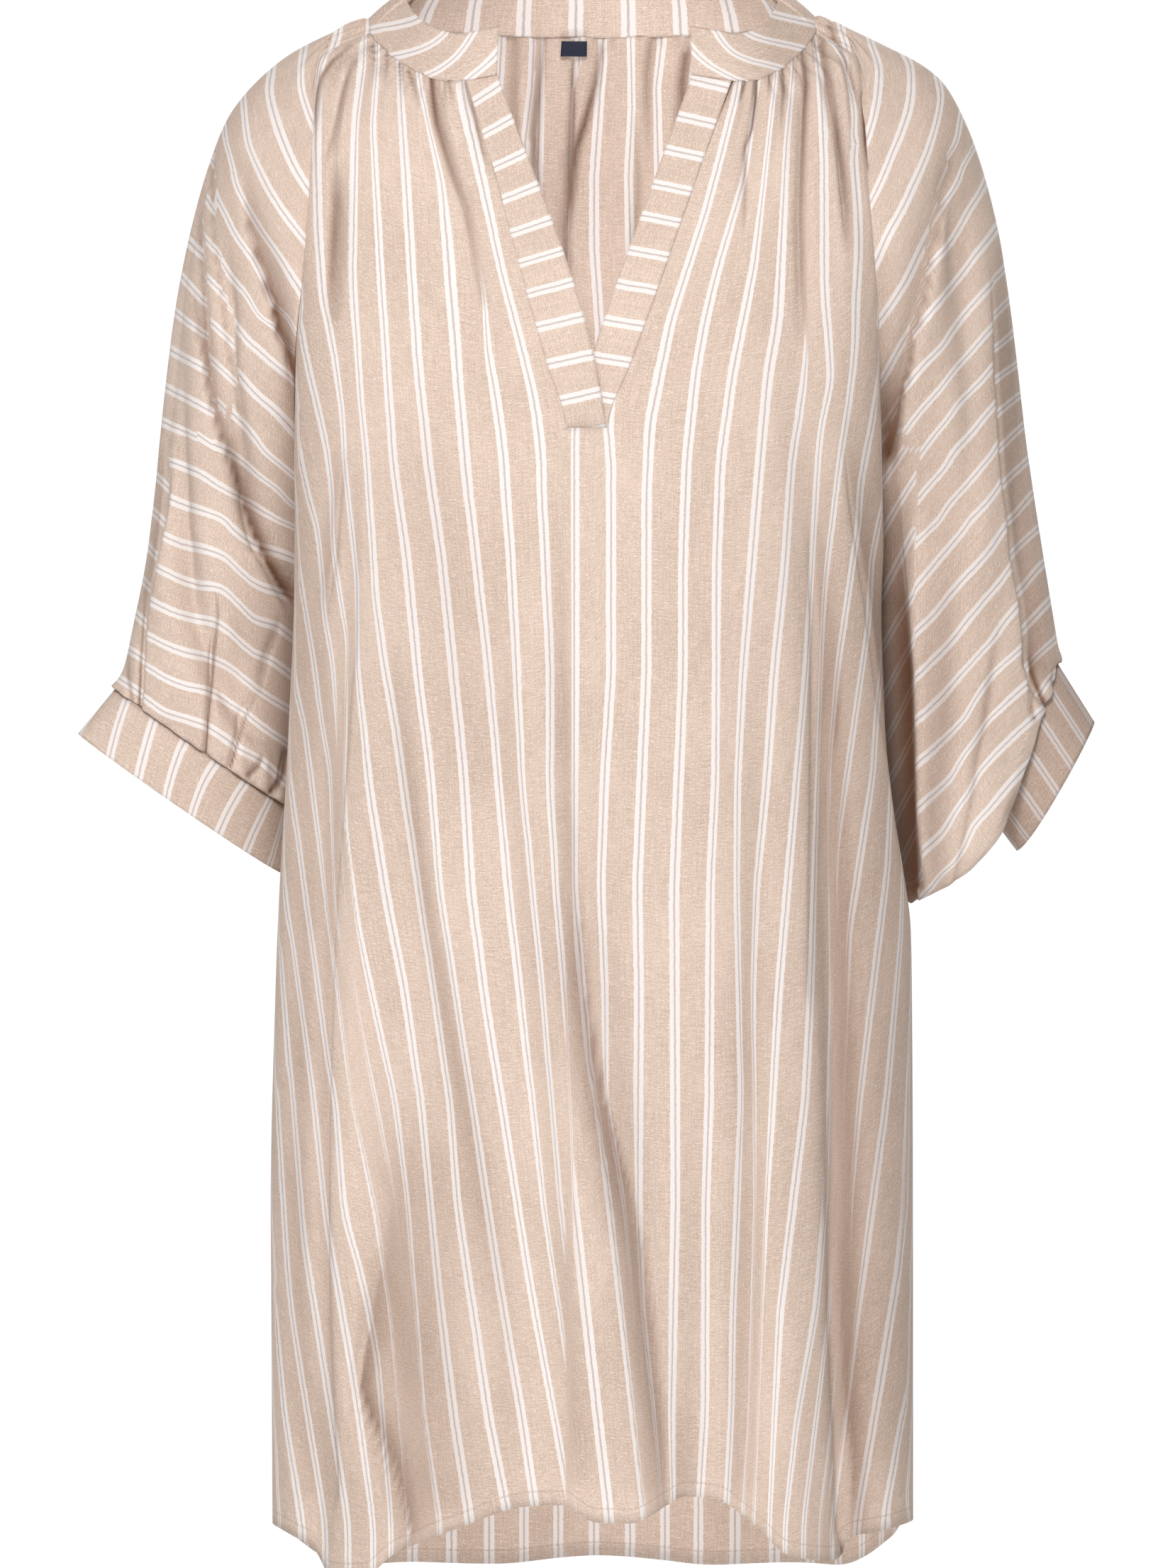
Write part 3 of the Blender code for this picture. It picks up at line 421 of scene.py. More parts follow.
SLEEVE_STRIPES = {
    "right": {
        "main": {
            1: [(-141, -4), (-145, -16), (-149, -27)],
            2: [(-160, -14), (-161, -27), (-159, -40), (-153, -56)],
            3: [(-177, -22), (-179, -34), (-175, -50), (-171, -62), (-164, -78), (-157, -89)],
            4: [(-193, -36), (-192, -52), (-190, -65), (-184, -78), (-175, -95), (-166, -108),
                (-158, -118)],
            5: [(-203, -55), (-203, -62), (-199, -75), (-197, -86), (-190, -100), (-180, -116),
                (-171, -129), (-161, -144)],
            6: [(-210, -71), (-209, -89), (-203, -101), (-197, -114), (-188, -126), (-177, -154),
                (-163, -173)],
            7: [(-207, -125), (-199, -138), (-189, -149), (-175, -163), (-164, -176)],
            8: [(-203, -155), (-190, -173), (-177, -184), (-164, -195)],
            9: [(-198, -187), (-186, -202), (-166, -220)],
            10: [(-211, -202), (-194, -216), (-181, -234), (-167, -245)],
            11: [(-236, -218), (-218, -223), (-211, -229), (-202, -232), (-190, -240), (-174, -253),
                (-166, -263)],
            12: [(-237, -237), (-226, -241), (-216, -245), (-207, -252), (-198, -257), (-188, -262),
                (-178, -268), (-167, -273)],
            13: [(-237, -257), (-226, -262), (-216, -265), (-204, -269), (-197, -278), (-188, -284),
                (-175, -288), (-166, -291)],
            14: [(-239, -278), (-227, -284), (-216, -286), (-202, -291), (-195, -299), (-188, -305),
                (-169, -312)],
            15: [(-241, -296), (-230, -302), (-216, -307), (-204, -308), (-195, -317), (-188, -325),
                (-175, -328), (-167, -335)],
            16: [(-244, -315), (-232, -321), (-218, -325), (-207, -327), (-198, -334), (-188, -344),
                (-178, -347), (-168, -355)],
            17: [(-246, -334), (-234, -340), (-223, -344), (-210, -347), (-198, -353), (-187, -363),
                (-178, -369), (-169, -374)],
            18: [(-246, -351), (-237, -357), (-224, -362), (-211, -365), (-200, -372), (-191, -377),
                (-179, -387), (-171, -392)],
            19: [(-256, -363), (-246, -369), (-237, -376), (-224, -380), (-213, -384), (-201, -392),
                (-195, -397), (-184, -402), (-172, -413)],
        },
        "edge": {
            5: [(-212, -76), (-214, -71)],
            6: [(-224, -117), (-216, -124)],
            7: [(-227, -136), (-214, -151)],
            8: [(-230, -156), (-220, -164)],
            9: [(-233, -177), (-216, -186)],
            10: [(-235, -198), (-211, -211)],
            11: [(-236, -217), (-216, -226)],
        },
        "strip": {
            6: [(-215, -90), (-210, -99)],
            7: [(-216, -113), (-208, -122)],
            8: [(-214, -136), (-205, -145)],
            9: [(-213, -160), (-203, -169)],
            10: [(-219, -173), (-211, -182), (-198, -194)],
        },
        "low": {
            12: [(-241, -246), (-237, -250)],
            13: [(-243, -265), (-239, -269)],
            14: [(-246, -284), (-242, -289)],
            15: [(-250, -301), (-245, -307)],
            16: [(-255, -319), (-247, -327)],
            17: [(-257, -341), (-249, -346)],
            18: [(-258, -360), (-250, -365)],
        },
    },
    "left": {
        "top": {
            1: [(136, -1), (139, -10), (140, -23)],
            2: [(152, -9), (156, -18), (156, -32), (155, -42), (150, -61)],
            3: [(169, -12), (174, -20), (174, -35), (170, -53), (164, -68), (155, -90)],
            4: [(188, -26), (191, -38), (188, -53), (183, -69), (174, -89), (162, -112), (155, -128)],
            5: [(201, -49), (199, -64), (193, -88), (190, -100), (183, -115), (172, -138), (162, -154),
                (156, -162)],
            6: [(181, -155), (172, -169), (158, -194)],
            7: [(170, -202), (160, -218)],
        },
        "main": {
            4: [(188, -26), (191, -38)],
            5: [(201, -49), (199, -64)],
            6: [(207, -68), (202, -76), (200, -85), (193, -95)],
            7: [(214, -87), (206, -99), (200, -111), (195, -119), (186, -129)],
            8: [(220, -112), (210, -124), (200, -138), (191, -149), (181, -161)],
            9: [(223, -135), (220, -139), (209, -151), (199, -163), (191, -176), (180, -186), (172, -197)],
            10: [(221, -162), (209, -176), (200, -185), (191, -198), (178, -212), (166, -229)],
            11: [(222, -182), (213, -194), (200, -206), (194, -216), (181, -232)],
            12: [(223, -204), (209, -221), (198, -232), (193, -242), (181, -255)],
            13: [(225, -224), (218, -236), (207, -249), (195, -262), (190, -271), (180, -280)],
            14: [(226, -246), (216, -261), (207, -270), (197, -283), (188, -294), (179, -305)],
            15: [(230, -269), (218, -287), (208, -298), (197, -310), (187, -323), (179, -330)],
            16: [(232, -291), (225, -302), (215, -314), (204, -327), (193, -341), (179, -355)],
            17: [(236, -314), (225, -327), (219, -337), (208, -349), (197, -361), (187, -372), (179, -379)],
            18: [(239, -337), (227, -348), (219, -355), (204, -380), (179, -403)],
            19: [(237, -362), (225, -373), (215, -382), (197, -412), (180, -427)],
            20: [(227, -393), (219, -401), (211, -410), (194, -440), (181, -452)],
            21: [(226, -419), (216, -431), (208, -439), (198, -460), (186, -472)],
            22: [(230, -440), (216, -456), (201, -468)],
        },
        "flank": {
            11: [(169, -234), (162, -245)],
            12: [(176, -248), (162, -271)],
            13: [(179, -271), (162, -304)],
            14: [(178, -308), (163, -333)],
            15: [(176, -337), (164, -359)],
            16: [(176, -361), (167, -380)],
            17: [(176, -388), (168, -404)],
            18: [(178, -412), (170, -427)],
            19: [(178, -440), (174, -448)],
            20: [(181, -464), (176, -475)],
        },
        "edge": {
            8: [(220, -112), (221, -110)],
            9: [(224, -134), (222, -136)],
            10: [(227, -150), (222, -156)],
            11: [(230, -168), (223, -174)],
            12: [(232, -185), (223, -191)],
            13: [(234, -202), (225, -209)],
            14: [(236, -218), (226, -228)],
            15: [(237, -239), (228, -247)],
            16: [(241, -256), (231, -268)],
            17: [(244, -275), (233, -285)],
            18: [(247, -294), (236, -307)],
            19: [(250, -315), (239, -327)],
            20: [(253, -337), (240, -349)],
            21: [(250, -358), (244, -368)],
        },
    },
}

# Creases beyond those of the solids. Each row is a line of flat places from its top down, its widths to
# the left and right, its heights along the line, below nought for a trough and above for a ridge, how
# much less light reaches its bottom along the line, and how far to each side, if not the same widths.
CREASE_COLUMNS = ("line", "widths", "heights", "shade", "reach")
FRONT_CREASES = (
    (((-90, -27), (-89, -39), (-87, -52), (-82, -68), (-77, -83), (-71, -98), (-66, -125), (-62, -150)),
     (1.5, 5), (-2.5, -4, -4, -3.5, -2.5, -2, -1.5, 0), (0.95, 0.89, 0.72, 0.55, 0.44, 0.33, 0.22, 0.17),
     (1, 3)),
    (((-71, -30), (-69, -39), (-66, -49), (-62, -66), (-57, -80)), (1.5, 3), (-2, -2, -1.5, -1.5, 0),
     (0.72, 0.67, 0.55, 0.39, 0), (1, 2)),
    (((76, -28), (70, -39), (63, -51), (57, -64), (51, -76)), (1.5, 4), (-2.5, -2.5, -2, -1.5, 0),
     (1, 0.95, 0.78, 0.61, 0.22), (1.2, 2.2)),
    (((89, -23), (89, -39), (87, -55), (83, -66), (83, -80), (83, -96), (82, -115)), (3.5, 1.5),
     (-2, -2.8, -2.8, -2.2, -2, -1.5, 0), (0.83, 0.95, 0.78, 0.72, 0.55, 0.39, 0), (1.5, 0.8)),
    (((103, -20), (104, -33), (103, -49), (103, -62)), (2, 3), (-2, -2, -0.5, 0), (0.72, 0.61, 0.39, 0),
     (1.2, 1.2)),
    (((113, -8), (115, -21), (116, -31), (115, -47), (114, -72), (113, -101), (114, -140), (115, -168)),
     (3, 5), (-2, -3.5, -3.5, -3.5, -3.5, -3.5, -2.5, -1.5),
     (0.72, 0.83, 0.72, 0.61, 0.55, 0.5, 0.39, 0.11), (1.2, 2.5)),
    (((124, -8), (126, -20), (129, -39), (133, -58), (135, -72), (138, -98), (140, -121)), (2.5, 6),
     (-2.5, -3.5, -2.5, -3.5, -3.5, -2.5, 0), (0.67, 0.61, 0.55, 0.72, 0.67, 0.44, 0.11), (1.2, 3.5)),
    (((128, 1), (133, -7), (138, -18), (141, -28), (145, -43)), (2, 3), (-2, -2.5, -2.5, -2, 0),
     (0.5, 0.61, 0.61, 0.55, 0.11), (1.2, 1.6)),
    (((147, -35), (148, -49), (149, -64), (151, -77)), (2, 3), (-1.5, -3.5, -3.5, -1.5), (0.61, 1, 1, 0.61),
     (1.3, 1.3)),
    (((-135, -10), (-144, -18), (-150, -26), (-152, -35), (-153, -45), (-154, -57)), (1.5, 4),
     (-2, -2.5, -2.5, -2, -1.5, 0), (0.39, 0.61, 0.78, 0.78, 0.61, 0.22), (1, 2)),
    (((-133, -19), (-137, -31), (-140, -43), (-142, -53), (-145, -64), (-148, -72)), (1.5, 4),
     (-1.5, -2, -2.5, -2, -1.5, 0), (0.39, 0.55, 0.55, 0.44, 0.39, 0.11), (1, 2.5)),
    (((-142, -72), (-142, -98), (-143, -117), (-144, -140), (-144, -168)), (4, 6), (0, -4, -4.5, -4, 0),
     (0, 0.61, 0.67, 0.5, 0), (3, 4)),
    (((-122, -9), (-121, -17), (-122, -27)), (1.5, 2.5), (-1.5, -1.5, 0), (0.72, 0.5, 0), (1, 1.2)),
    (((-107, -20), (-106, -28), (-107, -37)), (1.5, 2), (-1.5, -1.5, 0), (0.72, 0.5, 0), (1, 1.2)),
    (((-102, -24), (-99, -32), (-97, -43)), (1.5, 2), (-1.5, -1.5, 0), (0.72, 0.44, 0), (1, 1.2)),
    (((-80, -28), (-79, -35), (-77, -43)), (1.5, 2), (-1.5, -1.5, 0), (0.67, 0.39, 0), (1, 1.2)),
    (((-114, -15), (-114, -23), (-116, -33)), (1.5, 2), (-1.5, -1.5, 0), (0.61, 0.39, 0), (1, 1.2)),
    (((83, -26), (82, -32), (79, -43)), (1.5, 2), (-1.5, -1.5, 0), (0.72, 0.5, 0), (1, 1.2)),
    (((96, -22), (96, -28), (96, -39)), (1.5, 2), (-1.5, -1.5, 0), (0.72, 0.5, 0), (1, 1.2)),
    (((109, -13), (110, -21), (109, -33)), (1.5, 2), (-1.5, -1.5, 0), (0.61, 0.5, 0), (1, 1.2)),
    (((120, -3), (121, -14), (122, -27)), (1.5, 2), (-1.5, -1.5, 0), (0.72, 0.5, 0), (1, 1.2)),
    (((-139, -230), (-142, -255), (-144, -275), (-145, -291), (-147, -304), (-149, -328)), (9, 3),
     (0, -3, -4, -4, -3, 0), (0, 0.15, 0.25, 0.3, 0.25, 0), (5, 1.5)),
    (((-132, -234), (-133, -296), (-133, -335), (-136, -363), (-140, -413), (-144, -472), (-146, -530),
     (-147, -601), (-146, -667), (-144, -725), (-140, -803)), (7, 3),
     (0, -2, -3, -4, -5, -6, -7, -7, -7, -6, -6),
     (0, 0.1, 0.12, 0.14, 0.16, 0.18, 0.2, 0.2, 0.2, 0.18, 0.15), (6, 2)),
    (((138, -217), (143, -259), (152, -314), (159, -370), (165, -402), (175, -490)), (2.5, 10),
     (0, -4, -6, -6, -4, 0), (0.1, 0.4, 0.5, 0.55, 0.5, 0.3), (1.2, 9)),
    (((135, -351), (132, -392), (128, -412)), (3, 4), (0, -2, 0), (0.1, 0.45, 0), (1.5, 2)),
    (((121, -254), (123, -289), (125, -335), (124, -394), (122, -452), (120, -530)), (2.5, 8),
     (0, -2, -3, -3, -3, -2), (0, 0.25, 0.35, 0.35, 0.3, 0.2), (1.5, 7)),
    (((122, -234), (126, -281), (130, -335), (133, -394), (136, -472), (138, -550), (140, -628),
     (140, -706), (143, -764), (146, -823)), (9, 8), (0, -2, -3, -4, -5, -6, -7, -7, -6, -6),
     (0, 0.15, 0.25, 0.3, 0.35, 0.4, 0.4, 0.35, 0.3, 0.25), (8, 7)),
    (((135, -647), (136, -706), (138, -749), (142, -784), (143, -831)), (2, 6), (0, -2, -3, -4, -4),
     (0, 0.2, 0.35, 0.45, 0.3), (1.2, 6)),
    (((-19, -257), (-17, -316), (-16, -374), (-13, -433), (-9, -488), (-3, -530), (5, -585)), (12, 4),
     (0, -2, -3, -4, -4, -3, 0), (0, 0.15, 0.22, 0.26, 0.26, 0.2, 0), (8, 2.5)),
    (((-10, -472), (-5, -530), (5, -587), (16, -628), (26, -671), (32, -714), (37, -760), (39, -803)),
     (13, 2.5), (0, -3, -5, -6, -6, -5, -5, -4), (0, 0.4, 0.56, 0.52, 0.45, 0.36, 0.3, 0.26), (13, 1.2)),
    (((-111, -335), (-106, -382), (-103, -411), (-97, -448), (-91, -488), (-81, -542), (-71, -593),
     (-58, -655), (-48, -718), (-42, -784)), (9, 7), (0, -2, -3.5, -4.5, -5, -5, -4, -4, -3, -2),
     (0, 0.2, 0.3, 0.32, 0.32, 0.28, 0.22, 0.18, 0.12, 0.05), (6, 4)),
    (((-109, -593), (-111, -624), (-112, -655), (-116, -682), (-121, -706), (-125, -727), (-128, -749),
     (-122, -766), (-114, -782), (-108, -798), (-102, -823)), (2.2, 10),
     (0, 0, -0.5, -1.5, -3, -5, -6.5, -6.5, -6, -5, -4),
     (0, 0.03, 0.08, 0.14, 0.24, 0.4, 0.58, 0.62, 0.6, 0.55, 0.5), (1, 8)),
    (((93, -335), (89, -472), (86, -600), (84, -800)), (9, 8), (0, -3, -4, -5), (0, 0.12, 0.15, 0.15),
     (7, 6)),
    (((57, -569), (57, -667), (56, -796)), (9, 9), (0, -2.5, -4), (0, 0.08, 0.12), (7, 6)),
    (((-54, -226), (-49, -335), (-40, -452), (-27, -569), (-15, -686), (-9, -796)), (10, 10),
     (0, -1.5, -2, -2.5, -3, -4), (0, 0.06, 0.08, 0.1, 0.12, 0.15), (6, 6)),
    (((-97, -593), (-97, -647), (-101, -706), (-99, -757), (-93, -796)), (20, 30), (0,),
     (0.06, 0.2, 0.3, 0.32, 0.28), (24, 30)),
    (((-97, -179), (-93, -226), (-79, -296), (-67, -374), (-62, -452)), (20, 30), (0,),
     (0, 0.1, 0.12, 0.1, 0), (28, 22)),
    (((9, -511), (16, -589), (26, -686), (38, -796)), (20, 30), (0,), (0.1, 0.2, 0.18, 0.12), (14, 10)),
    (((139, -335), (141, -491), (143, -608), (147, -764)), (20, 30), (0,), (0.12, 0.24, 0.28, 0.26),
     (17, 34)),
    (((-161, -226), (-159, -335), (-156, -452), (-161, -569), (-163, -686), (-155, -803)), (8, 8),
     (0, -3, -4, -4, -4, -4), (0, 0.12, 0.2, 0.2, 0.2, 0.2), (7, 5)),
)
SLEEVE_CREASES = {
    "right": (
        (((-197, -68), (-192, -87), (-190, -108), (-184, -130), (-177, -152), (-174, -167), (-167, -184),
         (-164, -193)), (2.5, 11), (0, -1.5, -4, -6, -8, -9, -8, -7), (0, 0.2, 0.5, 0.65, 0.8, 0.95, 1, 1),
         (1.2, 7)),
        (((-210, -64), (-210, -98), (-209, -114), (-205, -147), (-202, -173), (-198, -194), (-194, -216),
         (-190, -238)), (1.5, 4), (0, -1, -1, -1.5, -1.5, -1.5, -1, 0),
         (0.1, 0.3, 0.3, 0.3, 0.3, 0.25, 0.2, 0), (1, 1.6)),
        (((-217, -96), (-216, -114), (-215, -134), (-214, -153), (-213, -173), (-211, -189)), (3, 1.5),
         (0, -1, -1.5, -1.5, -1.5, 0), (0.1, 0.35, 0.4, 0.4, 0.4, 0.2), (1.6, 1)),
        (((-220, -148), (-218, -164), (-215, -179), (-213, -195), (-210, -208), (-206, -223), (-198, -245),
         (-194, -259), (-188, -276), (-181, -292), (-174, -305), (-168, -314)), (2.5, 10),
         (0, -2, -3, -4, -5, -6, -7, -8, -9, -9, -8, -7),
         (0.15, 0.4, 0.6, 0.6, 0.6, 0.65, 0.75, 0.8, 0.9, 1, 1, 1), (1.2, 5.5)),
        (((-208, -311), (-207, -323), (-209, -341), (-210, -356), (-212, -374), (-214, -399)), (1.6, 3.5),
         (0, -2, -3, -3.5, -3.5, -3.5), (0.2, 0.65, 0.75, 0.85, 0.95, 1), (0.6, 1)),
        (((-246, -302), (-247, -319), (-248, -334), (-249, -348), (-250, -373)), (3, 1.6),
         (0, -1.5, -2, -3, -3), (0.1, 0.4, 0.55, 0.75, 0.95), (1, 0.6)),
        (((-256, -337), (-256, -356), (-254, -369)), (2.5, 2.5), (0, -1.5, -1.5), (0.1, 0.5, 0.5),
         (1.2, 1.2)),
        (((-237, -233), (-238, -255), (-240, -276), (-243, -298), (-245, -311), (-247, -324)), (8, 1.6),
         (0, -2, -3, -3, -2, 0), (0.1, 0.35, 0.4, 0.4, 0.35, 0.1), (7, 1)),
        (((-174, -324), (-175, -334), (-179, -343), (-182, -356), (-184, -366)), (3, 2),
         (0, -1.5, -1.5, -1.5, 0), (0.2, 0.35, 0.35, 0.3, 0.1), (1.5, 1)),
        (((-184, -364), (-190, -374), (-193, -383), (-196, -392), (-200, -406)), (2.5, 2),
         (0, -1.5, -2.5, -3, -3), (0.1, 0.5, 0.75, 0.9, 1), (0.8, 0.7)),
        (((-183, -401), (-185, -406), (-190, -411)), (2, 2), (-1, -2, -2), (0.5, 0.9, 0.9), (1.2, 1)),
        (((-170, -398), (-172, -412), (-175, -417), (-178, -420)), (2, 2), (-1, -2.5, -2.5, -2.5),
         (0.6, 0.95, 0.95, 0.9), (1.6, 1.2)),
        (((-164, -193), (-165, -218), (-166, -250), (-165, -281), (-166, -310)), (5, 4), (0,),
         (0.7, 0.4, 0.2, 0.2, 0.4), (8, 6)),
        (((-166, -310), (-167, -335), (-168, -367), (-170, -398)), (5, 4), (0,), (0.5, 0.3, 0.25, 0.4)),
        (((-190, -152), (-198, -187), (-201, -218)), (9, 9), (0, 2.5, 0), (0,)),
        (((-225, -226), (-225, -296), (-226, -355)), (10, 10), (0, -2.5, 0), (0, 0.12, 0), (8, 8)),
        (((-194, -320), (-198, -347), (-203, -378)), (9, 9), (0, -2, 0), (0, 0.12, 0), (6, 6)),
    ),
    "left": (
        (((199, -60), (198, -68), (195, -81), (191, -99), (189, -112), (185, -129), (184, -139),
         (181, -156), (176, -170), (174, -186), (168, -206), (166, -220), (163, -233)), (11, 2.5),
         (0, -2, -4, -5, -6, -6, -7, -7, -8, -8, -8, -7, -6),
         (0.05, 0.3, 0.4, 0.4, 0.42, 0.42, 0.42, 0.45, 0.5, 0.6, 0.75, 0.85, 0.9), (6, 1.2)),
        (((221, -121), (221, -142), (222, -158), (223, -173), (223, -186), (224, -200), (225, -213),
         (226, -233), (227, -248), (230, -266), (232, -290), (237, -314), (239, -332), (239, -349)),
         (2.5, 12), (0, -2, -3, -4, -5, -5, -6, -6, -6, -6, -6, -6, -5, -5),
         (0, 0.15, 0.3, 0.35, 0.38, 0.4, 0.4, 0.4, 0.4, 0.4, 0.4, 0.4, 0.45, 0.6), (1.2, 14)),
        (((178, -218), (178, -234), (177, -262), (178, -290), (177, -317), (177, -346), (178, -373),
         (179, -401), (179, -429), (181, -457), (184, -478)), (6, 3), (0, 2, 3, 3, 3, 3, 3, 3, 3, 2, 0),
         (0,)),
        (((165, -234), (167, -281), (171, -316), (174, -355), (175, -394), (176, -433), (178, -472)),
         (8, 2.2), (0, -2, -4, -5, -5, -5, -4), (0.15, 0.45, 0.85, 1, 1, 1, 1), (15, 1.8)),
        (((222, -329), (218, -356), (214, -385), (210, -400), (208, -419), (204, -440), (201, -456),
         (198, -470)), (2, 6), (0, -2, -3, -3, -3, -2.5, -2, -1),
         (0.1, 0.25, 0.3, 0.32, 0.32, 0.3, 0.3, 0.25), (1, 2)),
        (((239, -347), (240, -355), (244, -365), (247, -372)), (2, 3), (-1, -2.5, -3, -3),
         (0.6, 0.95, 1, 1), (1, 2)),
        (((241, -367), (240, -375), (242, -380)), (1.6, 1.6), (-1, -1.5, -1.5), (0.3, 0.7, 0.8), (1, 1)),
        (((252, -351), (251, -358), (253, -363)), (1.6, 2), (-1, -1.5, -1.5), (0.2, 0.5, 0.6), (1, 1.2)),
        (((156, -125), (156, -152), (156, -173), (158, -186), (160, -213), (162, -234)), (4, 8), (0,),
         (0.1, 0.25, 0.35, 0.45, 0.75, 0.85), (4, 7)),
        (((200, -65), (201, -78), (203, -92), (200, -109), (200, -133), (198, -168), (198, -203)), (7, 9),
         (0, -2, -3, -3, -3, -2, 0), (0, 0.15, 0.22, 0.2, 0.15, 0.1, 0), (5, 6)),
        (((196, -234), (194, -281), (192, -335), (191, -390), (190, -433)), (9, 10), (0, -2, -3, -3, 0),
         (0, 0.1, 0.14, 0.14, 0.08), (7, 7)),
        (((211, -218), (213, -265), (215, -312)), (9, 9), (0, 2.5, 0), (0,)),
        (((209, -148), (209, -257), (206, -374)), (20, 30), (0,), (0.05, 0.13, 0.1), (38, 38)),
        (((129, 1), (136, -23), (140, -40)), (1.5, 2.5), (-1, -1.5, 0), (0.6, 0.75, 0.3), (0.8, 1.8)),
        (((144, -39), (148, -55), (149, -72), (151, -78)), (2, 1.5), (-1, -2, -2, 0),
         (0.5, 0.95, 0.95, 0.5), (1.6, 1)),
        (((232, -421), (230, -431), (230, -447)), (4, 3), (0, -2, -2), (0.2, 0.5, 0.5), (3, 2)),
    ),
}
# Where the cloth of a sleeve goes into a pleat, so that its stripes start afresh beyond the line.
SLEEVE_ZONES = {
    "right": (
        ("edge", ((-210, -68), (-216, -87), (-214, -140), (-213, -160), (-215, -179), (-213, -195),
                  (-210, -209), (-206, -223))),
        ("strip", ((-210, -68), (-209, -86), (-208, -114), (-205, -148), (-201, -173), (-197, -197),
                   (-206, -218))),
        ("low", ((-238, -240), (-239, -266), (-242, -288), (-245, -305), (-247, -331), (-249, -372))),
    ),
    "left": (
        ("top", ((200, -43), (197, -65), (193, -88), (188, -112), (183, -146), (178, -166), (172, -194),
                 (166, -222))),
        ("flank", ((166, -222), (178, -234), (178, -415), (183, -471))),
        ("edge", ((220, -105), (222, -159), (223, -179), (225, -226), (230, -269), (234, -303),
                  (239, -342), (243, -369))),
    ),
}
# The height of single gathers under the neck seam, by how far down the row is of the gather's length.
GATHER_HEIGHT = Table("share height", (0, 0.4), (0.1, 1.0), (0.35, 0.8), (0.7, 0.3), (1, 0))
# The flat height of each stripe along the outer edge of a placket band.
PLACKET_STRIPES = {
    "right": (-41, -58.5, -77, -94.5, -113, -129.5, -146, -164.5, -185, -205, -225),
    "left": (-33, -53, -71, -90, -107, -126, -144, -164, -184, -204, -224),
}
PLACKET_SLANT = {"right": (10, 4.5), "left": (5, 3)}  # how far the stripes climb, at the top and the foot
# Where the stripes of a cuff leave its top edge, as flat x.
CUFF_STRIPES = {
    "right": (-254, -242, -225, -209, -193, -177),
    "left": (250, 241, 232, 226),
}
COLLAR_BACK_STEP = 29.6  # the collar is cut aslant, so its stripes lie further apart at the back
COLLAR_BACK_START = 6.35
COLLAR_STRIPES = {
    "right": {
        0: [(-67, -26), (-55, -16)],
        1: [(-92, -26), (-81, -20), (-65, 1)],
        2: [(-113, -16), (-82, -3)],
        3: [(-123, -1), (-95, 6)],
    },
    "left": {
        12: [(58, -16), (72, -25)],
        11: [(65, 2), (77, -14), (96, -20)],
        10: [(83, -2), (110, -10)],
        9: [(91, 11), (118, 3)],
    },
}
TUCK_DEPTH, TUCK_LENGTH = 0.9, 0.07  # the tiny tucks at a gathered seam, and how many rows they take
TUCK_SHADE, TUCK_SHADE_LENGTH = 0.30, 0.035  # painted shade between them, and over how many rows
SEAM_REST = 5.0  # gathers and creases come up this far from a side seam
FRONT_GATHERS = (9, 2.4, 0.5, 21)  # how many, how deep, how far down, and how many tiny tucks
BACK_GATHERS = (8, 2.2, 0.55, 19)
SLEEVE_GATHERS = (12, 2.2, 0.4)
CUFF_GATHERS = (16, 2.0, 0.35)
CUFF_TUCKS = 44
# The stripes of the front are numbered level by level.
LOWEST_LEVEL, WIDEST = 880.0, 200.0  # how far down and aside they are numbered
LEVEL_STEP = 3.0  # between two levels
LEVEL_BLUR = 4  # over how many levels each way they are evened out
LEAST_GAP = 0.3  # between two stripes that meet in a fold
STRIPE_REACH = 60  # how far a stripe is followed past its ends
STRIPE_REACH_LOW = 12  # and past its top where it starts below the level of the neck
NECK_LEVEL = -75
PLATE_SLACK = 40.0  # how loosely a smooth surface follows its values
CROWDED, CROWDED_OVER = 2.1, 1.2  # stripes this many times too close are folded away
SPARSE, SPARSE_OVER = 0.5, 0.15  # and so are those this many times too far apart
JUMP, JUMP_SLOPE = 0.25, 2.5  # numbers that change faster than this belong to two pleats
FOLD_START, CREASE_START = 0.3, 0.05  # the rows over which folds and creases set in below slit and neck
BACK_FULLNESS, BACK_FULL_ROWS = 0.35, 0.8  # how much closer the stripes of the back lie at the neck
# The part of the back seen through the neck: its foot, how it fades below that, and half its width.
INNER_BACK_FOOT, INNER_BACK_FADE, INNER_BACK_SIDE = 165, 150, 60
COLLAR_SWELL = 1.2  # how far the middle of the collar's height stands out
COLLAR_FRONT, COLLAR_FRONT_OVER = 0.29, 0.06  # the share of the collar that has its own stripes
PLACKET_FOOT = 9  # the height over which a band comes back to the slit's end
PLACKET_LIFT = 0.3  # the share of a band's width that stands out over the edge
PLACKET_LEVELS = (30, 220)  # how far down the two slants of its stripes are given
FAR = {"tuck": 0.0, "painted_shade": 0.0, "edge": 100.0}  # what the marks are where nothing is marked
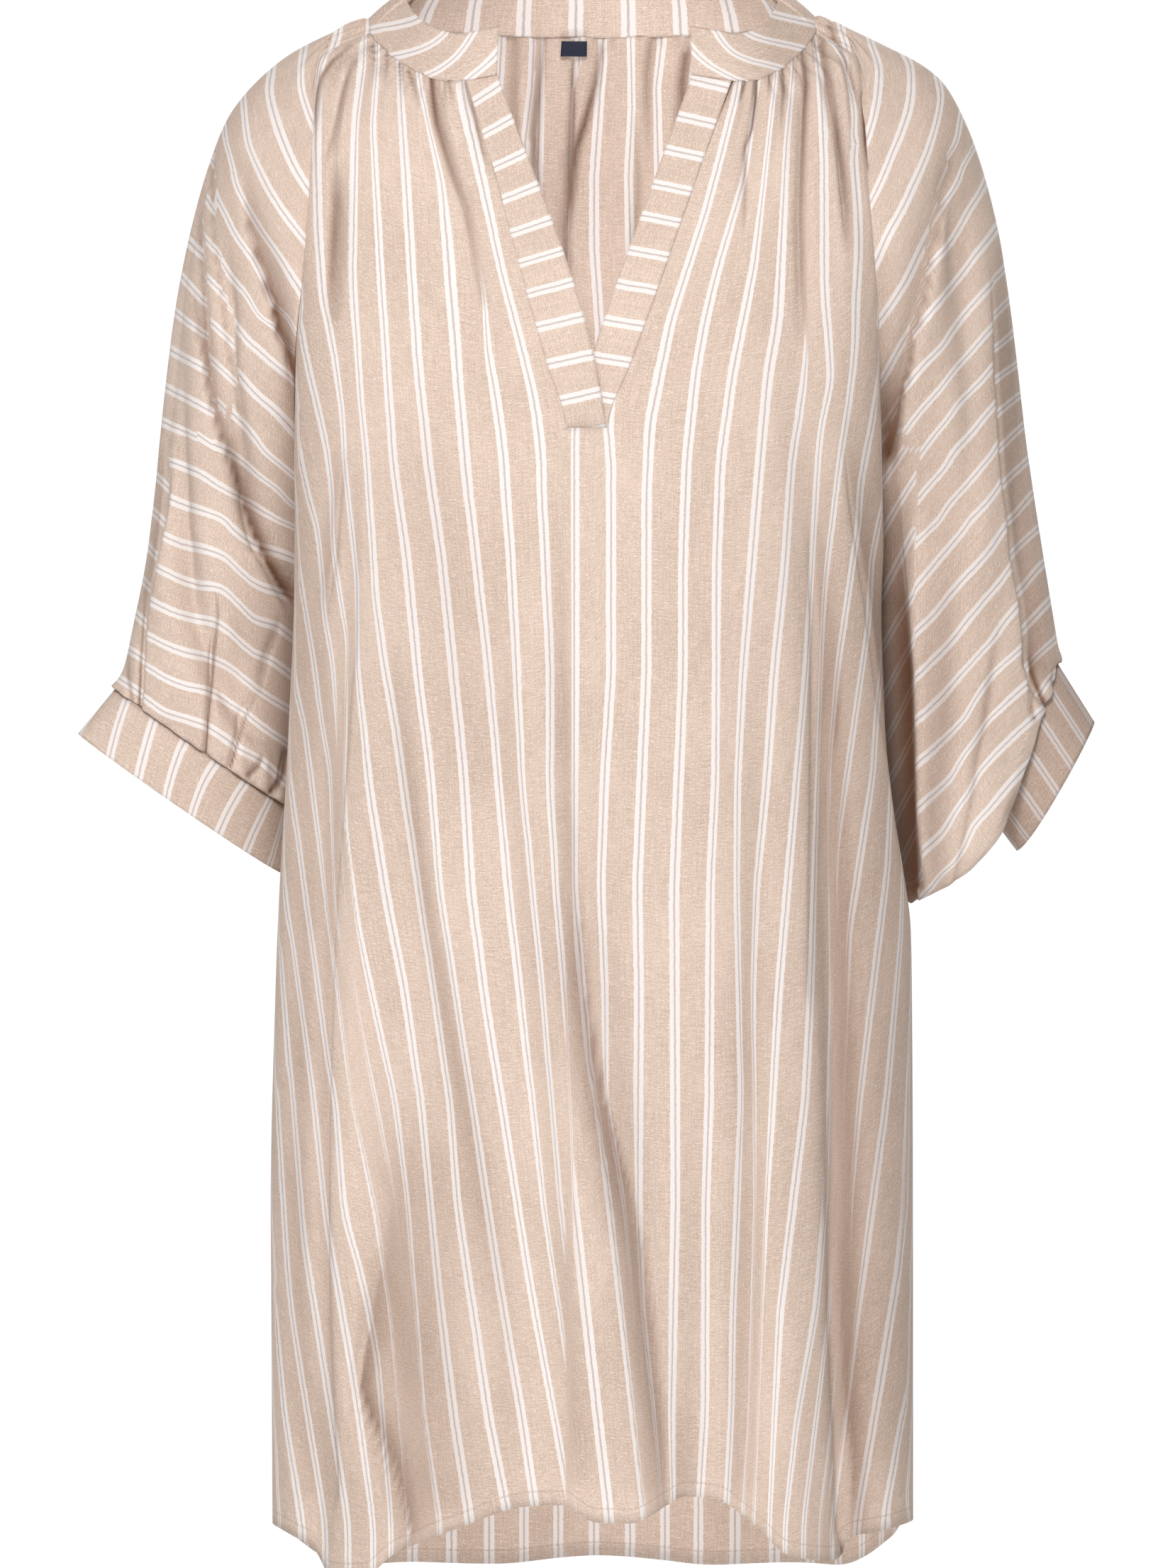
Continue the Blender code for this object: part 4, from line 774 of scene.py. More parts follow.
# Folds of the back as they show through the neck, with troughs that sink away from the viewer.
BACK_CREASES = (
    (((-27, -8), (-30, -33), (-32, -58), (-32, -76), (-30, -100), (-27, -150), (-25, -210)), (7, 1.8),
     (-3, -6, -7, -7, -6, -3, 0), (0.45, 0.7, 0.75, 0.7, 0.6, 0.3, 0), (3, 1)),
    (((-12, -20), (-12, -43), (-13, -68), (-14, -90), (-15, -110)), (1.8, 5), (-3, -5, -5, -2, 0),
     (0.6, 0.85, 0.7, 0.3, 0), (0.9, 1.8)),
    (((5, -10), (1, -31), (-5, -53), (-10, -68), (-13, -94), (-15, -109), (-15, -150), (-14, -200),
     (-12, -260)), (6, 1.8), (-3, -7, -7.5, -7.5, -7.5, -7, -5, -3, 0),
     (0.55, 0.75, 0.75, 0.7, 0.7, 0.6, 0.45, 0.25, 0), (3, 0.9)),
    (((50, -14), (48, -29), (48, -49), (49, -80), (51, -120), (53, -170)), (3, 8),
     (-4, -6, -5, -3, -1.5, 0), (0.7, 0.75, 0.6, 0.35, 0.15, 0), (1.5, 4)),
    (((22, -50), (24, -85), (23, -101), (20, -140), (18, -190), (17, -240)), (2, 6),
     (0, -3, -4, -3.5, -2, 0), (0.1, 0.4, 0.5, 0.35, 0.2, 0), (1, 3)),
    (((31, -8), (29, -25), (29, -60), (30, -90)), (2, 6), (-3, -3.5, -1.5, 0), (0.4, 0.4, 0.2, 0), (1, 3)),
    (((-43, -8), (-44, -40), (-42, -90), (-40, -150), (-38, -200)), (6, 3), (-3, -5, -5, -2.5, 0),
     (0.35, 0.45, 0.4, 0.2, 0), (4, 2)),
)
# Stripes of the back up to each of its pleats, and beyond the last pleat.
BACK_STRIPES = {
    ((-4, -6), (-10, -30), (-17, -60), (-24, -90), (-24, -400)): {-1: [(-8, -16), (-11, -62), (-14, -100)]},
    ((-12, -20), (-13, -68), (-14, -90), (-14, -400)): {-2: [(-30, -43), (-31, -82), (-31, -120)]},
    ((-31, -8), (-32, -33), (-34, -58), (-34, -400)): {
        -4: [(-51, -8), (-52, -24), (-56, -80)],
        -3: [(-33.5, -14), (-34.5, -33), (-38, -62)],
    },
    None: {
        0: [(5, -20), (3.5, -33), (0, -82), (0, -121), (3.5, -170)],
        1: [(20, -6), (21, -43), (19, -82), (21, -170)],
        2: [(37, -8), (34, -33), (35, -70), (38, -170)],
    },
}
# How far the wearer's left sleeve leans towards the body, by flat height.
SLEEVE_FULLNESS = Table(
    "z x", (-495, 0), (-476, 3.2), (-429, 3.5), (-413, 4.6), (-398, 4.6), (-374, 4), (-350, 3.4), (-328, 2),
    (-310, 0)
)
FULLNESS_LEVELS = (-495, -355)
FULLNESS_WIDTH = 0.06  # the share of a turn, from the underarm seam
# The lower edge of the left sleeve is lifted beside its cuff.
EDGE_LIFT, EDGE_LIFT_X, EDGE_LIFT_WIDTH, EDGE_LIFT_FROM, EDGE_LIFT_OVER = 8, 214, 15, -425, 40
CUFF_SHADE = {"right": 0.02, "left": 0.36}  # how much less light reaches each cuff
FLANK_TURN = 0.25  # where the front faces so far aside, its stripes go on plainly to the side seam
FLANK_ROWS = 36  # over how many rows each way the numbers there are evened out
FLANK_BELL = 2.4  # how fast far rows count less
FLANK_EASE = 20  # the length of cloth over which that sets in
CUFF_SLANT = 0.32  # how fast the stripes of the right cuff lean over, away from where one is upright
CUFF_UPRIGHT = 224
CUFF_LEAN, CUFF_LEAN_FROM, CUFF_LEAN_OVER = 8, 18, 30  # how much further some lean, and where
CUFF_TOP_SHADE, CUFF_TOP_REACH = 0.3, 2.0  # painted shade on the cuff's top under the sleeve's end, and how far down it reaches
CUFF_SEAM_SHADE = {"right": 0.12, "left": 0.85}  # how much painted shade lies along the seam above each cuff
SEAM_SHADE_REACH = 1.1  # how far that reaches
PLACKET_TUCK = 0.6  # how far the placket's foot goes behind the front, below the slit's end


def bezier(p0, p1, p2, p3, w):
    w = w[None, :, None]
    p0, p1, p2, p3 = (p[:, None, :] for p in (p0, p1, p2, p3))
    return p0 * (1 - w) ** 3 + 3 * p1 * w * (1 - w) ** 2 + 3 * p2 * w * w * (1 - w) + p3 * w**3


def stacked(*parts):
    return np.stack(np.broadcast_arrays(*parts), axis=-1).astype(float)


def normals_of(grid):
    """Unit normals of a grid of points: along the rows crossed with along the columns."""
    normal = np.cross(np.gradient(grid, axis=0), np.gradient(grid, axis=1))
    return normal / np.linalg.norm(normal, axis=-1, keepdims=True)


def fold_height(x, z, folds):
    """How far the folds stand out at each point of a panel."""
    total = np.zeros(x.shape)
    for fold in folds:
        along = np.clip((z - fold["top_z"]) / (fold["foot_z"] - fold["top_z"]), 0, 1)
        line = smooth((0, 0.5, 1), fold["x"], along)
        width = np.where(x < line, *fold["widths"])
        height = fold["heights"][0] + (fold["heights"][1] - fold["heights"][0]) * along
        fade = np.clip(along / 0.15, 0, 1)
        total += height * fade * np.exp(-(((x - line) / width) ** 2))
    return total


def hem_height(grid, rows, ends):
    """Moves the last rows of a panel down or up to the hem's own line."""
    share = np.clip((rows - HEM_ROWS_FROM) / (2 - HEM_ROWS_FROM), 0, 1)[:, None]
    grid[..., 2] += share * (ends - grid[-1:, :, 2])
    return grid


def front_half(side, rows, columns):
    """Base surface of one half of the front: the slit first, the raglan and side seam last."""
    sign = SIDES[side]
    inner = stacked(FRONT_INNER.read(side + "_x", rows), *FRONT_INNER.point("y z", rows).T)
    outer = stacked(FRONT_EDGE.read(side + "_x", rows), *FRONT_EDGE.point("y z", rows).T)
    in_turn = np.radians(FRONT_INNER.read("turn", rows))
    out_turn = np.radians(FRONT_OUTER.read("turn", rows))
    leave = stacked(sign * np.cos(in_turn), np.sin(in_turn), 0 * rows)
    arrive = stacked(sign * np.sin(out_turn), np.cos(out_turn), 0 * rows)
    near = inner + FRONT_INNER.read("pull", rows)[:, None] * leave
    near[:, 2] = inner[:, 2] + FRONT_INNER.read("rise", rows)
    far = outer - FRONT_OUTER.read("pull", rows)[:, None] * arrive
    far[:, 2] = outer[:, 2] - FRONT_OUTER.read("drop", rows)
    grid = bezier(inner, near, far, outer, columns)
    return hem_height(grid, rows, HEM[side].read("z", columns)[None, :])


def back_half(side, rows, columns):
    """Base surface of one half of the back: the centre line first, the raglan and side seam last."""
    sign = SIDES[side]
    inner = stacked(0 * rows, *BACK_INNER.point("y z", rows).T)
    outer = stacked(BACK_EDGE.read(side + "_x", rows), *BACK_EDGE.point("y z", rows).T)
    turn = np.radians(BACK_OUTER.read("turn", rows))
    arrive = stacked(sign * np.sin(turn), -np.cos(turn), 0 * rows)
    near = inner + BACK_INNER.read("pull", rows)[:, None] * np.array([sign, 0.0, 0.0])
    far = outer - BACK_OUTER.read("pull", rows)[:, None] * arrive
    grid = bezier(inner, near, far, outer, columns)
    return hem_height(grid, rows, BACK_HEM.read("z", columns)[None, :])


def sleeve_ends(side, rows, edge):
    """Where each row of a sleeve starts or ends: on the raglan seam, then on the underarm seam."""
    raglan = stacked(edge.read(side + "_x", rows), *edge.point("y z", rows).T)
    seam = SLEEVES[side].point("inner_x inner_y inner_z", rows)
    return np.where(rows[:, None] < 1, raglan, seam)


def sleeve_grid(side, rows, turns):
    """Base surface of a sleeve: from the front seam over the outer line to the back seam."""
    sign = SIDES[side]
    outer = SLEEVES[side].point("outer_x outer_y outer_z", rows)
    half = turns[turns <= 0.5] * 2
    rings = []
    for edge, place, way in ((FRONT_EDGE, "front", -1), (BACK_EDGE, "back", 1)):
        start = sleeve_ends(side, rows, edge)
        leave = SLEEVE_LEAVES[side].point(f"{place}_out {place}_away {place}_up", rows)
        near = start + leave * (sign, way, 1)
        over = outer + stacked(0 * rows, way * SLEEVES[side].read(place, rows), 0 * rows)
        rings.append(bezier(start, near, over, outer, half))
    grid = np.concatenate([rings[0], rings[1][:, ::-1][:, 1:]], axis=1)
    if side == "left":
        bell = np.exp(-(((turns - DROOP_TURN) / DROOP_WIDTH) ** 2))
        grid[..., 2] -= DROOP_LEFT.read("drop", rows)[:, None] * bell
    return grid


def crease_height(rows, turns, folds):
    """Depth of a sleeve's creases at each row value and turn from 0 to 1 round it."""
    total = np.zeros((len(rows), len(turns)))
    for fold in folds:
        first, last = fold["rows"]
        along = (rows - first) / (last - first)
        line = fold["turns"][0] + (fold["turns"][1] - fold["turns"][0]) * along
        fade = np.clip(np.minimum(along, 1 - along) / 0.2, 0, 1)
        offset = (turns[None, :] - line[:, None]) / fold["width"]
        total += (fold["height"] * fade)[:, None] * np.exp(-(offset**2))
    return total


def outward(grid, normal, centre):
    """Turns the normals so that they point away from the given centre."""
    facing = np.sum((grid - centre) * normal, axis=-1).sum()
    return normal if facing > 0 else -normal


def body_normals(grid):
    return outward(grid, normals_of(grid), BODY_CENTRE)


def share_normals(first, second, amount):
    """Turns two edges' normals towards their common mean, by an amount for each row."""
    mean = first + second
    mean /= np.maximum(np.linalg.norm(mean, axis=-1, keepdims=True), 1e-6)
    for edge in (first, second):
        edge += (mean - edge) * amount[:, None]
        edge /= np.linalg.norm(edge, axis=-1, keepdims=True)


def part_at_underarm(grid, column, rows, sign, way):
    """Moves an edge sideways near the underarm, where sleeve and body lie on each other."""
    grid[:, column, 0] += sign * way * UNDERARM_PARTING.read("apart", rows)


def flat(grid):
    """Where points show on the front elevation: across and up."""
    scale = -EYE[1] / (grid[..., 1] - EYE[1])
    return EYE[0] + (grid[..., 0] - EYE[0]) * scale, EYE[2] + (grid[..., 2] - EYE[2]) * scale


def crease_relief(x, z, creases, amounts):
    """At flat places, how far the creases lift or sink the cloth, or how much painted shade lies along
    them.
    """
    total = np.zeros(x.shape)
    for row in creases:
        crease = dict(zip(CREASE_COLUMNS, row))
        if not any(crease[amounts]):
            continue
        line = np.array(crease["line"], float)
        lengths = np.linalg.norm(np.diff(line, axis=0), axis=1)
        nearest = np.full(x.shape, np.inf)
        signed = np.zeros(x.shape)
        along = np.zeros(x.shape)
        for i, (start, end) in enumerate(zip(line[:-1], line[1:])):
            way = (end - start) / lengths[i]
            from_x, from_z = x - start[0], z - start[1]
            step = np.clip(from_x * way[0] + from_z * way[1], 0, lengths[i])
            distance = np.hypot(from_x - step * way[0], from_z - step * way[1])
            closer = distance < nearest
            nearest[closer] = distance[closer]
            side = np.sign(-from_x * way[1] + from_z * way[0])
            signed[closer] = (side * distance)[closer]
            along[closer] = ((lengths[:i].sum() + step) / lengths.sum())[closer]
        widths = crease["widths"] if amounts == "heights" else crease.get("reach", crease["widths"])
        width = np.where(signed < 0, *widths)
        amount = np.interp(along, np.linspace(0, 1, len(crease[amounts])), crease[amounts])
        here = amount * np.exp(-((signed / width) ** 2))
        # For the shade, each crease gives painted shade, which later darkens the cloth's colour.
        total = total + here if amounts == "heights" else 1 - (1 - total) * (1 - here)
    return total


def single_gathers(columns, share_down, count, depth, reach, seed):
    """Uneven gathers below a gathered seam. Each has its own place, depth and length."""
    rng = np.random.default_rng(seed)
    total = np.zeros((len(share_down), len(columns)))
    for k in range(count):
        place = (k + 0.5 + rng.uniform(-0.3, 0.3)) / count
        width = rng.uniform(0.26, 0.42) / count
        height = depth * rng.uniform(0.6, 1.2)
        length = reach * rng.uniform(0.5, 1.3)
        down = GATHER_HEIGHT.read("height", np.clip(share_down / length, 0, 1))
        total += height * down[:, None] * np.exp(-(((columns - place) / width) ** 2))[None, :]
    return total


def puckers(columns, share_down, count, seed):
    """Tiny tucks right at a gathered seam, and the painted shade between them."""
    fine = single_gathers(columns, share_down, count, TUCK_DEPTH, TUCK_LENGTH, seed)
    near = np.clip(1 - share_down / TUCK_SHADE_LENGTH, 0, 1)[:, None]
    return fine, np.clip(TUCK_SHADE - fine, 0, TUCK_SHADE) * near


def gathered_half(columns, rows, count, depth, reach, tucks, seed):
    """Gathers and tiny tucks below the neck in half a panel, and the painted shade between them."""
    fine, dark = puckers(columns, rows, tucks, seed + 10)
    return single_gathers(columns, rows, count, depth, reach, seed) + fine, dark


def away_from_seams(arcs):
    """Nought at the two side seams of a panel, and one a little way in."""
    from_seam = np.minimum(arcs, arcs[:, -1:] - arcs)
    return 1 - np.exp(-((from_seam / SEAM_REST) ** 2))


def stripe_raster(lines):
    """Stripe numbers over the front elevation, with the first and last line of each level."""
    levels = np.arange(0.0, -LOWEST_LEVEL, -LEVEL_STEP)
    across = np.arange(-WIDEST, WIDEST + 1, 1.0)
    numbers, limits = [], []
    for level in levels:
        hits = []
        for number, line in lines.items():
            places = np.array(line, float)
            top = places[0, 1] + (STRIPE_REACH if places[0, 1] > NECK_LEVEL else STRIPE_REACH_LOW)
            foot = places[-1, 1] - (STRIPE_REACH if number == round(number) else 0)
            if foot <= level <= top:
                hits.append((np.interp(-level, -places[:, 1], places[:, 0]), number))
        hits.sort(key=lambda hit: hit[1])
        x = np.maximum.accumulate(np.array([hit[0] for hit in hits]) + LEAST_GAP * np.arange(len(hits)))
        k = np.array([hit[1] for hit in hits], float)
        beyond = np.minimum(across - x[0], 0) + np.maximum(across - x[-1], 0)
        numbers.append(np.interp(across, x, k) + beyond / STRIPE_STEP)
        limits.append((x[0], x[-1]))
    numbers, limits = np.array(numbers), np.array(limits)
    weights = np.exp(-0.5 * (np.arange(-LEVEL_BLUR, LEVEL_BLUR + 1) / (LEVEL_BLUR / 2)) ** 2)
    weights /= weights.sum()
    padded = np.pad(numbers, ((LEVEL_BLUR, LEVEL_BLUR), (0, 0)), mode="edge")
    soft = sum(w * padded[i : i + len(numbers)] for i, w in enumerate(weights))
    return levels, across, soft, limits


def read_raster(raster, x, z):
    levels, across, numbers, _ = raster
    i = np.clip((levels[0] - z) / LEVEL_STEP, 0, len(levels) - 1.001)
    j = np.clip(x - across[0], 0, len(across) - 1.001)
    i0, j0 = i.astype(int), j.astype(int)
    fi, fj = i - i0, j - j0
    upper = numbers[i0, j0] * (1 - fj) + numbers[i0, j0 + 1] * fj
    lower = numbers[i0 + 1, j0] * (1 - fj) + numbers[i0 + 1, j0 + 1] * fj
    return upper * (1 - fi) + lower * fi


def numbers_between(lines, x, z):
    """Stripe numbers read between stripes whose flat places are known."""
    keys = sorted(lines)
    spots = []
    for key in keys:
        line = np.array(lines[key], float)
        spots.append(np.interp(-z, -line[:, 1], line[:, 0]))
    numbers = keys[0] + np.minimum(x - spots[0], 0) / STRIPE_STEP
    for first, second, left, right in zip(keys, keys[1:], spots, spots[1:]):
        numbers += (second - first) * np.clip((x - left) / (right - left), 0, 1)
    return numbers + np.maximum(x - spots[-1], 0) / STRIPE_STEP


def arc_lengths(grid, axis):
    step = np.linalg.norm(np.diff(grid, axis=axis), axis=-1)
    start = np.zeros_like(np.take(step, [0], axis=axis))
    return np.concatenate([start, np.cumsum(step, axis=axis)], axis=axis)


def continue_numbers(numbers, known, arcs, sign):
    """Beyond the last column that is known, a stripe follows every step of cloth."""
    last = known.shape[1] - 1 - np.argmax(known[:, ::-1], axis=1)
    here = np.arange(len(numbers))
    extra = (arcs - arcs[here, last][:, None]) / STRIPE_STEP * sign
    beyond = np.arange(known.shape[1])[None, :] > last[:, None]
    return np.where(beyond, numbers[here, last][:, None] + extra, numbers)


def evened(values):
    """A run of values with its small wiggles smoothed away."""
    spread = np.arange(-FLANK_ROWS, FLANK_ROWS + 1)
    weights = np.exp(-((FLANK_BELL * spread / FLANK_ROWS) ** 2))
    return np.convolve(np.pad(values, FLANK_ROWS, mode="edge"), weights / weights.sum(), mode="valid")


def half_numbers(side, grid):
    """Stripe numbers of half the front, from the slit to the seam. Past the flank's turn they are plain."""
    raster = stripe_raster(STRIPES[side])
    x, z = flat(grid)
    numbers = read_raster(raster, x, z)
    arcs = arc_lengths(grid, 1)
    limit = np.interp(-z, -raster[0], raster[3][:, 0 if side == "right" else 1])
    outwards = np.gradient(x, axis=1) / np.maximum(np.gradient(arcs, axis=1), 1e-3) * SIDES[side]
    turn = evened(np.where(outwards > FLANK_TURN, arcs, 0).max(axis=1))
    known = ((x - limit) * SIDES[side] < 1) & (arcs < turn[:, None])
    known[:, 0] = True
    known = np.logical_and.accumulate(known, axis=1)
    here = np.arange(len(numbers))
    last = known.sum(axis=1) - 1
    start = numbers[here, last] - arcs[here, last] / STRIPE_STEP * SIDES[side]
    ease = np.clip((arcs - arcs[here, last][:, None]) / FLANK_EASE, 0, 1)
    return continue_numbers(numbers, known, arcs, SIDES[side]) + (evened(start) - start)[:, None] * ease


def thin_plate(lines):
    """Stripe numbers as a smooth surface over the flat places that the lines go through."""
    places = np.array([place for line in lines.values() for place in line], float)
    values = np.array([number for number, line in lines.items() for _ in line], float)
    count = len(places)

    def swell(distance):
        safe = np.maximum(distance, 1e-6)
        return safe**2 * np.log(safe)

    apart = np.linalg.norm(places[:, None] - places[None], axis=-1)
    plane = np.concatenate([np.ones((count, 1)), places], axis=1)
    system = np.block([[swell(apart) + PLATE_SLACK * np.eye(count), plane], [plane.T, np.zeros((3, 3))]])
    weights = np.linalg.solve(system, np.concatenate([values, np.zeros(3)]))

    def read(x, z):
        total = weights[count] + weights[count + 1] * x + weights[count + 2] * z
        for (px, pz), weight in zip(places, weights):
            total = total + weight * swell(np.hypot(x - px, z - pz))
        return total

    return read


def sleeve_numbers(side, plain, grid):
    """Stripe numbers of a sleeve, by the pleat its plain form lies in. Its back repeats its front."""
    x, z = flat(plain)
    final_x, final_z = flat(grid)
    surfaces = {zone: thin_plate(lines) for zone, lines in SLEEVE_STRIPES[side].items()}
    numbers = surfaces["main"](final_x, final_z)
    for zone, line in SLEEVE_ZONES[side]:
        line = np.array(line, float)
        border = np.interp(-z, -line[:, 1], line[:, 0])
        level = (z <= line[0, 1]) & (z >= line[-1, 1])
        outside = x * SIDES[side] > border * SIDES[side]
        inner = zone in ("top", "flank")
        if zone == "strip":
            edge = np.array(SLEEVE_ZONES[side][0][1], float)
            outside &= x > np.interp(-z, -edge[:, 1], edge[:, 0])
        chosen = level & (~outside if inner else outside)
        if zone == "top":
            chosen |= (z > line[0, 1]) & (x < line[0, 0])
        numbers = np.where(chosen, surfaces[zone](final_x, final_z), numbers)
    return numbers


def tucked(numbers, arcs, down):
    """Where so many stripes crowd together, or spread so far apart, that their cloth is folded away."""
    crowd = np.abs(np.gradient(numbers, axis=1)) / np.maximum(np.gradient(arcs, axis=1), 1e-3) * STRIPE_STEP
    climb = np.abs(np.gradient(numbers, axis=0)) / np.maximum(np.gradient(down, axis=0), 1e-3) * STRIPE_STEP
    close = np.clip((crowd - CROWDED) / CROWDED_OVER, 0, 1)
    return np.maximum(close, np.clip((SPARSE - np.hypot(crowd, climb)) / SPARSE_OVER, 0, 1))


def torn(numbers, arcs):
    """Where the numbering jumps from one pleat to the next, so that no stripe is drawn across."""
    torn_here = np.zeros(numbers.shape)
    jump = np.abs(np.diff(numbers, axis=1)) > JUMP + JUMP_SLOPE * np.diff(arcs, axis=1) / STRIPE_STEP
    torn_here[:, :-1][jump] = torn_here[:, 1:][jump] = 1
    return torn_here


def sheet(name, grid, normal, numbers, along, marks=(), keep=None, merge_from=None, thickness=CLOTH):
    """A thin cloth over a grid of points, with its weave laid out in metres and marks at its points."""
    last_i, last_j = grid.shape[0] - 1, grid.shape[1] - 1
    build = bmesh.new()
    bmesh.ops.create_grid(build, x_segments=last_j, y_segments=last_i, size=1)
    weave = build.loops.layers.uv.new("cloth")
    # The marks: where stripes are folded away, how much painted shade lies there, and how far up from the
    # hem.
    layers = {mark: build.verts.layers.float.new(mark) for mark in ("tuck", "painted_shade", "edge")}
    marks = dict(marks)
    places = {}
    for vert in build.verts:
        i = round((1 - vert.co.y) / 2 * last_i)
        j = round((1 + vert.co.x) / 2 * last_j)
        places[vert] = (i, j)
        for mark, layer in layers.items():
            vert[layer] = float(marks[mark][i, j]) if mark in marks else FAR[mark]
    for face in build.faces:
        for loop in face.loops:
            i, j = places[loop.vert]
            loop[weave].uv = (numbers[i, j] * STRIPE_STEP * METRES, along[i, j] * METRES)
    for vert, (i, j) in places.items():
        vert.co = grid[i, j] * METRES
    if keep is not None:
        gone = [f for f in build.faces if not keep[tuple(np.min([places[v] for v in f.verts], axis=0))]]
        bmesh.ops.delete(build, geom=gone, context="FACES")
    build.normal_update()
    facing = sum(vert.normal.dot(normal[places[vert]]) for vert in build.verts)
    if facing < 0:
        bmesh.ops.reverse_faces(build, faces=build.faces[:])
    if merge_from is not None:
        seam = [v for v in build.verts if places[v][0] >= merge_from and places[v][1] in (0, last_j)]
        bmesh.ops.remove_doubles(build, verts=seam, dist=1e-5)
    mesh = bpy.data.meshes.new(name)
    build.to_mesh(mesh)
    build.free()
    mesh.shade_smooth()
    piece = put_in_scene(name, mesh)
    wall = piece.modifiers.new("cloth thickness", "SOLIDIFY")
    wall.thickness = thickness * METRES
    wall.offset = 0
    return piece


def body_rows():
    """Row values, closest together near the neck, with one at the slit's end and one at the underarm."""
    slit = SLIT_ROW * np.linspace(0, 1, SLIT_ROWS) ** ROW_CROWDING
    yoke = np.linspace(SLIT_ROW, 1, YOKE_ROWS)[1:]
    skirt = np.linspace(1, 2, SKIRT_ROWS)[1:]
    return np.concatenate([slit, yoke, skirt])


def sleeve_rows():
    rows = body_rows()
    return np.concatenate([rows[rows < 1 + 1e-6], np.linspace(1, 2, TUBE_ROWS)[1:]])


def front_grid(rows):
    """The front from the wearer's right seam to the left one."""
    columns = np.linspace(0, 1, HALF_COLUMNS + 1)
    right = front_half("right", rows, columns)[:, ::-1]
    left = front_half("left", rows, columns)
    share = np.linspace(0, 1, STRIP_COLUMNS + 1)[1:-1]
    strip = right[:, -1:] * (1 - share[:, None]) + left[:, :1] * share[:, None]
    strip = hem_height(strip, rows, STRIP_HEM.read("z", share)[None, :])
    grid = np.concatenate([right, strip, left], axis=1)
    slit = rows < SLIT_ROW + 1e-6
    normal = body_normals(grid)
    normal[slit, : HALF_COLUMNS + 1] = body_normals(right)[slit]
    normal[slit, -HALF_COLUMNS - 1 :] = body_normals(left)[slit]
    high_right, dark_right = gathered_half(columns, rows, *FRONT_GATHERS, seed=3)
    high_left, dark_left = gathered_half(columns, rows, *FRONT_GATHERS, seed=4)
    gap = np.zeros(strip.shape[:2])
    height = np.concatenate([high_right[:, ::-1], gap, high_left], axis=1)
    painted_shade = np.concatenate([dark_right[:, ::-1], gap, dark_left], axis=1)
    folds = fold_height(grid[..., 0], grid[..., 2], FRONT_FOLDS)
    middle = slice(HALF_COLUMNS, HALF_COLUMNS + STRIP_COLUMNS + 1)
    folds[:, middle] *= np.clip((rows - SLIT_ROW) / FOLD_START, 0, 1)[:, None]
    creases = crease_relief(*flat(grid), FRONT_CREASES, "heights")
    creases *= np.clip((rows + 0.01) / CREASE_START, 0, 1)[:, None]
    height = (height + folds + creases) * away_from_seams(arc_lengths(grid, 1))
    grid = grid + normal * height[..., None]
    # Painted shade in the creases, where they show on the front elevation.
    painted_shade = np.maximum(painted_shade, crease_relief(*flat(grid), FRONT_CREASES, "shade"))
    numbers_right = half_numbers("right", grid[:, HALF_COLUMNS::-1])[:, ::-1]
    numbers_left = half_numbers("left", grid[:, -HALF_COLUMNS - 1 :])
    strip_x, strip_z = flat(grid[:, HALF_COLUMNS + 1 : -HALF_COLUMNS - 1])
    numbers_strip = read_raster(stripe_raster(STRIPES["left"]), strip_x, strip_z)
    numbers = np.concatenate([numbers_right, numbers_strip, numbers_left], axis=1)
    keep = np.ones((len(rows) - 1, grid.shape[1] - 1), bool)
    keep[rows[:-1] < SLIT_ROW - 1e-6, middle.start : middle.stop - 1] = False
    return grid, normal, keep, numbers, painted_shade


def back_grid(rows):
    """The back from the wearer's right seam to the left one."""
    columns = np.linspace(0, 1, BACK_COLUMNS + 1)
    right = back_half("right", rows, columns)[:, ::-1]
    left = back_half("left", rows, columns)
    grid = np.concatenate([right[:, :-1], left], axis=1)
    normal = body_normals(grid)
    high_right, dark_right = gathered_half(columns, rows, *BACK_GATHERS, seed=5)
    high_left, dark_left = gathered_half(columns, rows, *BACK_GATHERS, seed=6)
    height = np.concatenate([high_right[:, ::-1], high_left[:, 1:]], axis=1)
    painted_shade = np.concatenate([dark_right[:, ::-1], dark_left[:, 1:]], axis=1)
    height += fold_height(grid[..., 0], grid[..., 2], BACK_FOLDS)
    height -= crease_relief(*flat(grid), BACK_CREASES, "heights")
    arcs = arc_lengths(grid, 1)
    height *= away_from_seams(arcs)
    grid = grid + normal * height[..., None]
    x, z = flat(grid)
    # Painted shade in the creases seen through the neck.
    painted_shade = np.maximum(painted_shade, crease_relief(x, z, BACK_CREASES, "shade"))
    wide = 1 + BACK_FULLNESS * np.clip(1 - rows / BACK_FULL_ROWS, 0, 1)[:, None]
    numbers = (arcs - arcs[:, BACK_COLUMNS : BACK_COLUMNS + 1]) * wide / STRIPE_STEP
    near = numbers_between(BACK_STRIPES[None], x, z)
    for border, lines in BACK_STRIPES.items():
        if border is not None:
            line = np.array(border, float)
            inside = x < np.interp(-z, -line[:, 1], line[:, 0])
            near = np.where(inside, numbers_between(lines, x, z), near)
    outside = np.clip((-z - INNER_BACK_FOOT) / INNER_BACK_FADE, 0, 1)
    outside = np.maximum(outside, np.clip((np.abs(x) - INNER_BACK_SIDE) / INNER_BACK_SIDE, 0, 1))
    return grid, normal, near * (1 - outside) + numbers * outside, painted_shade


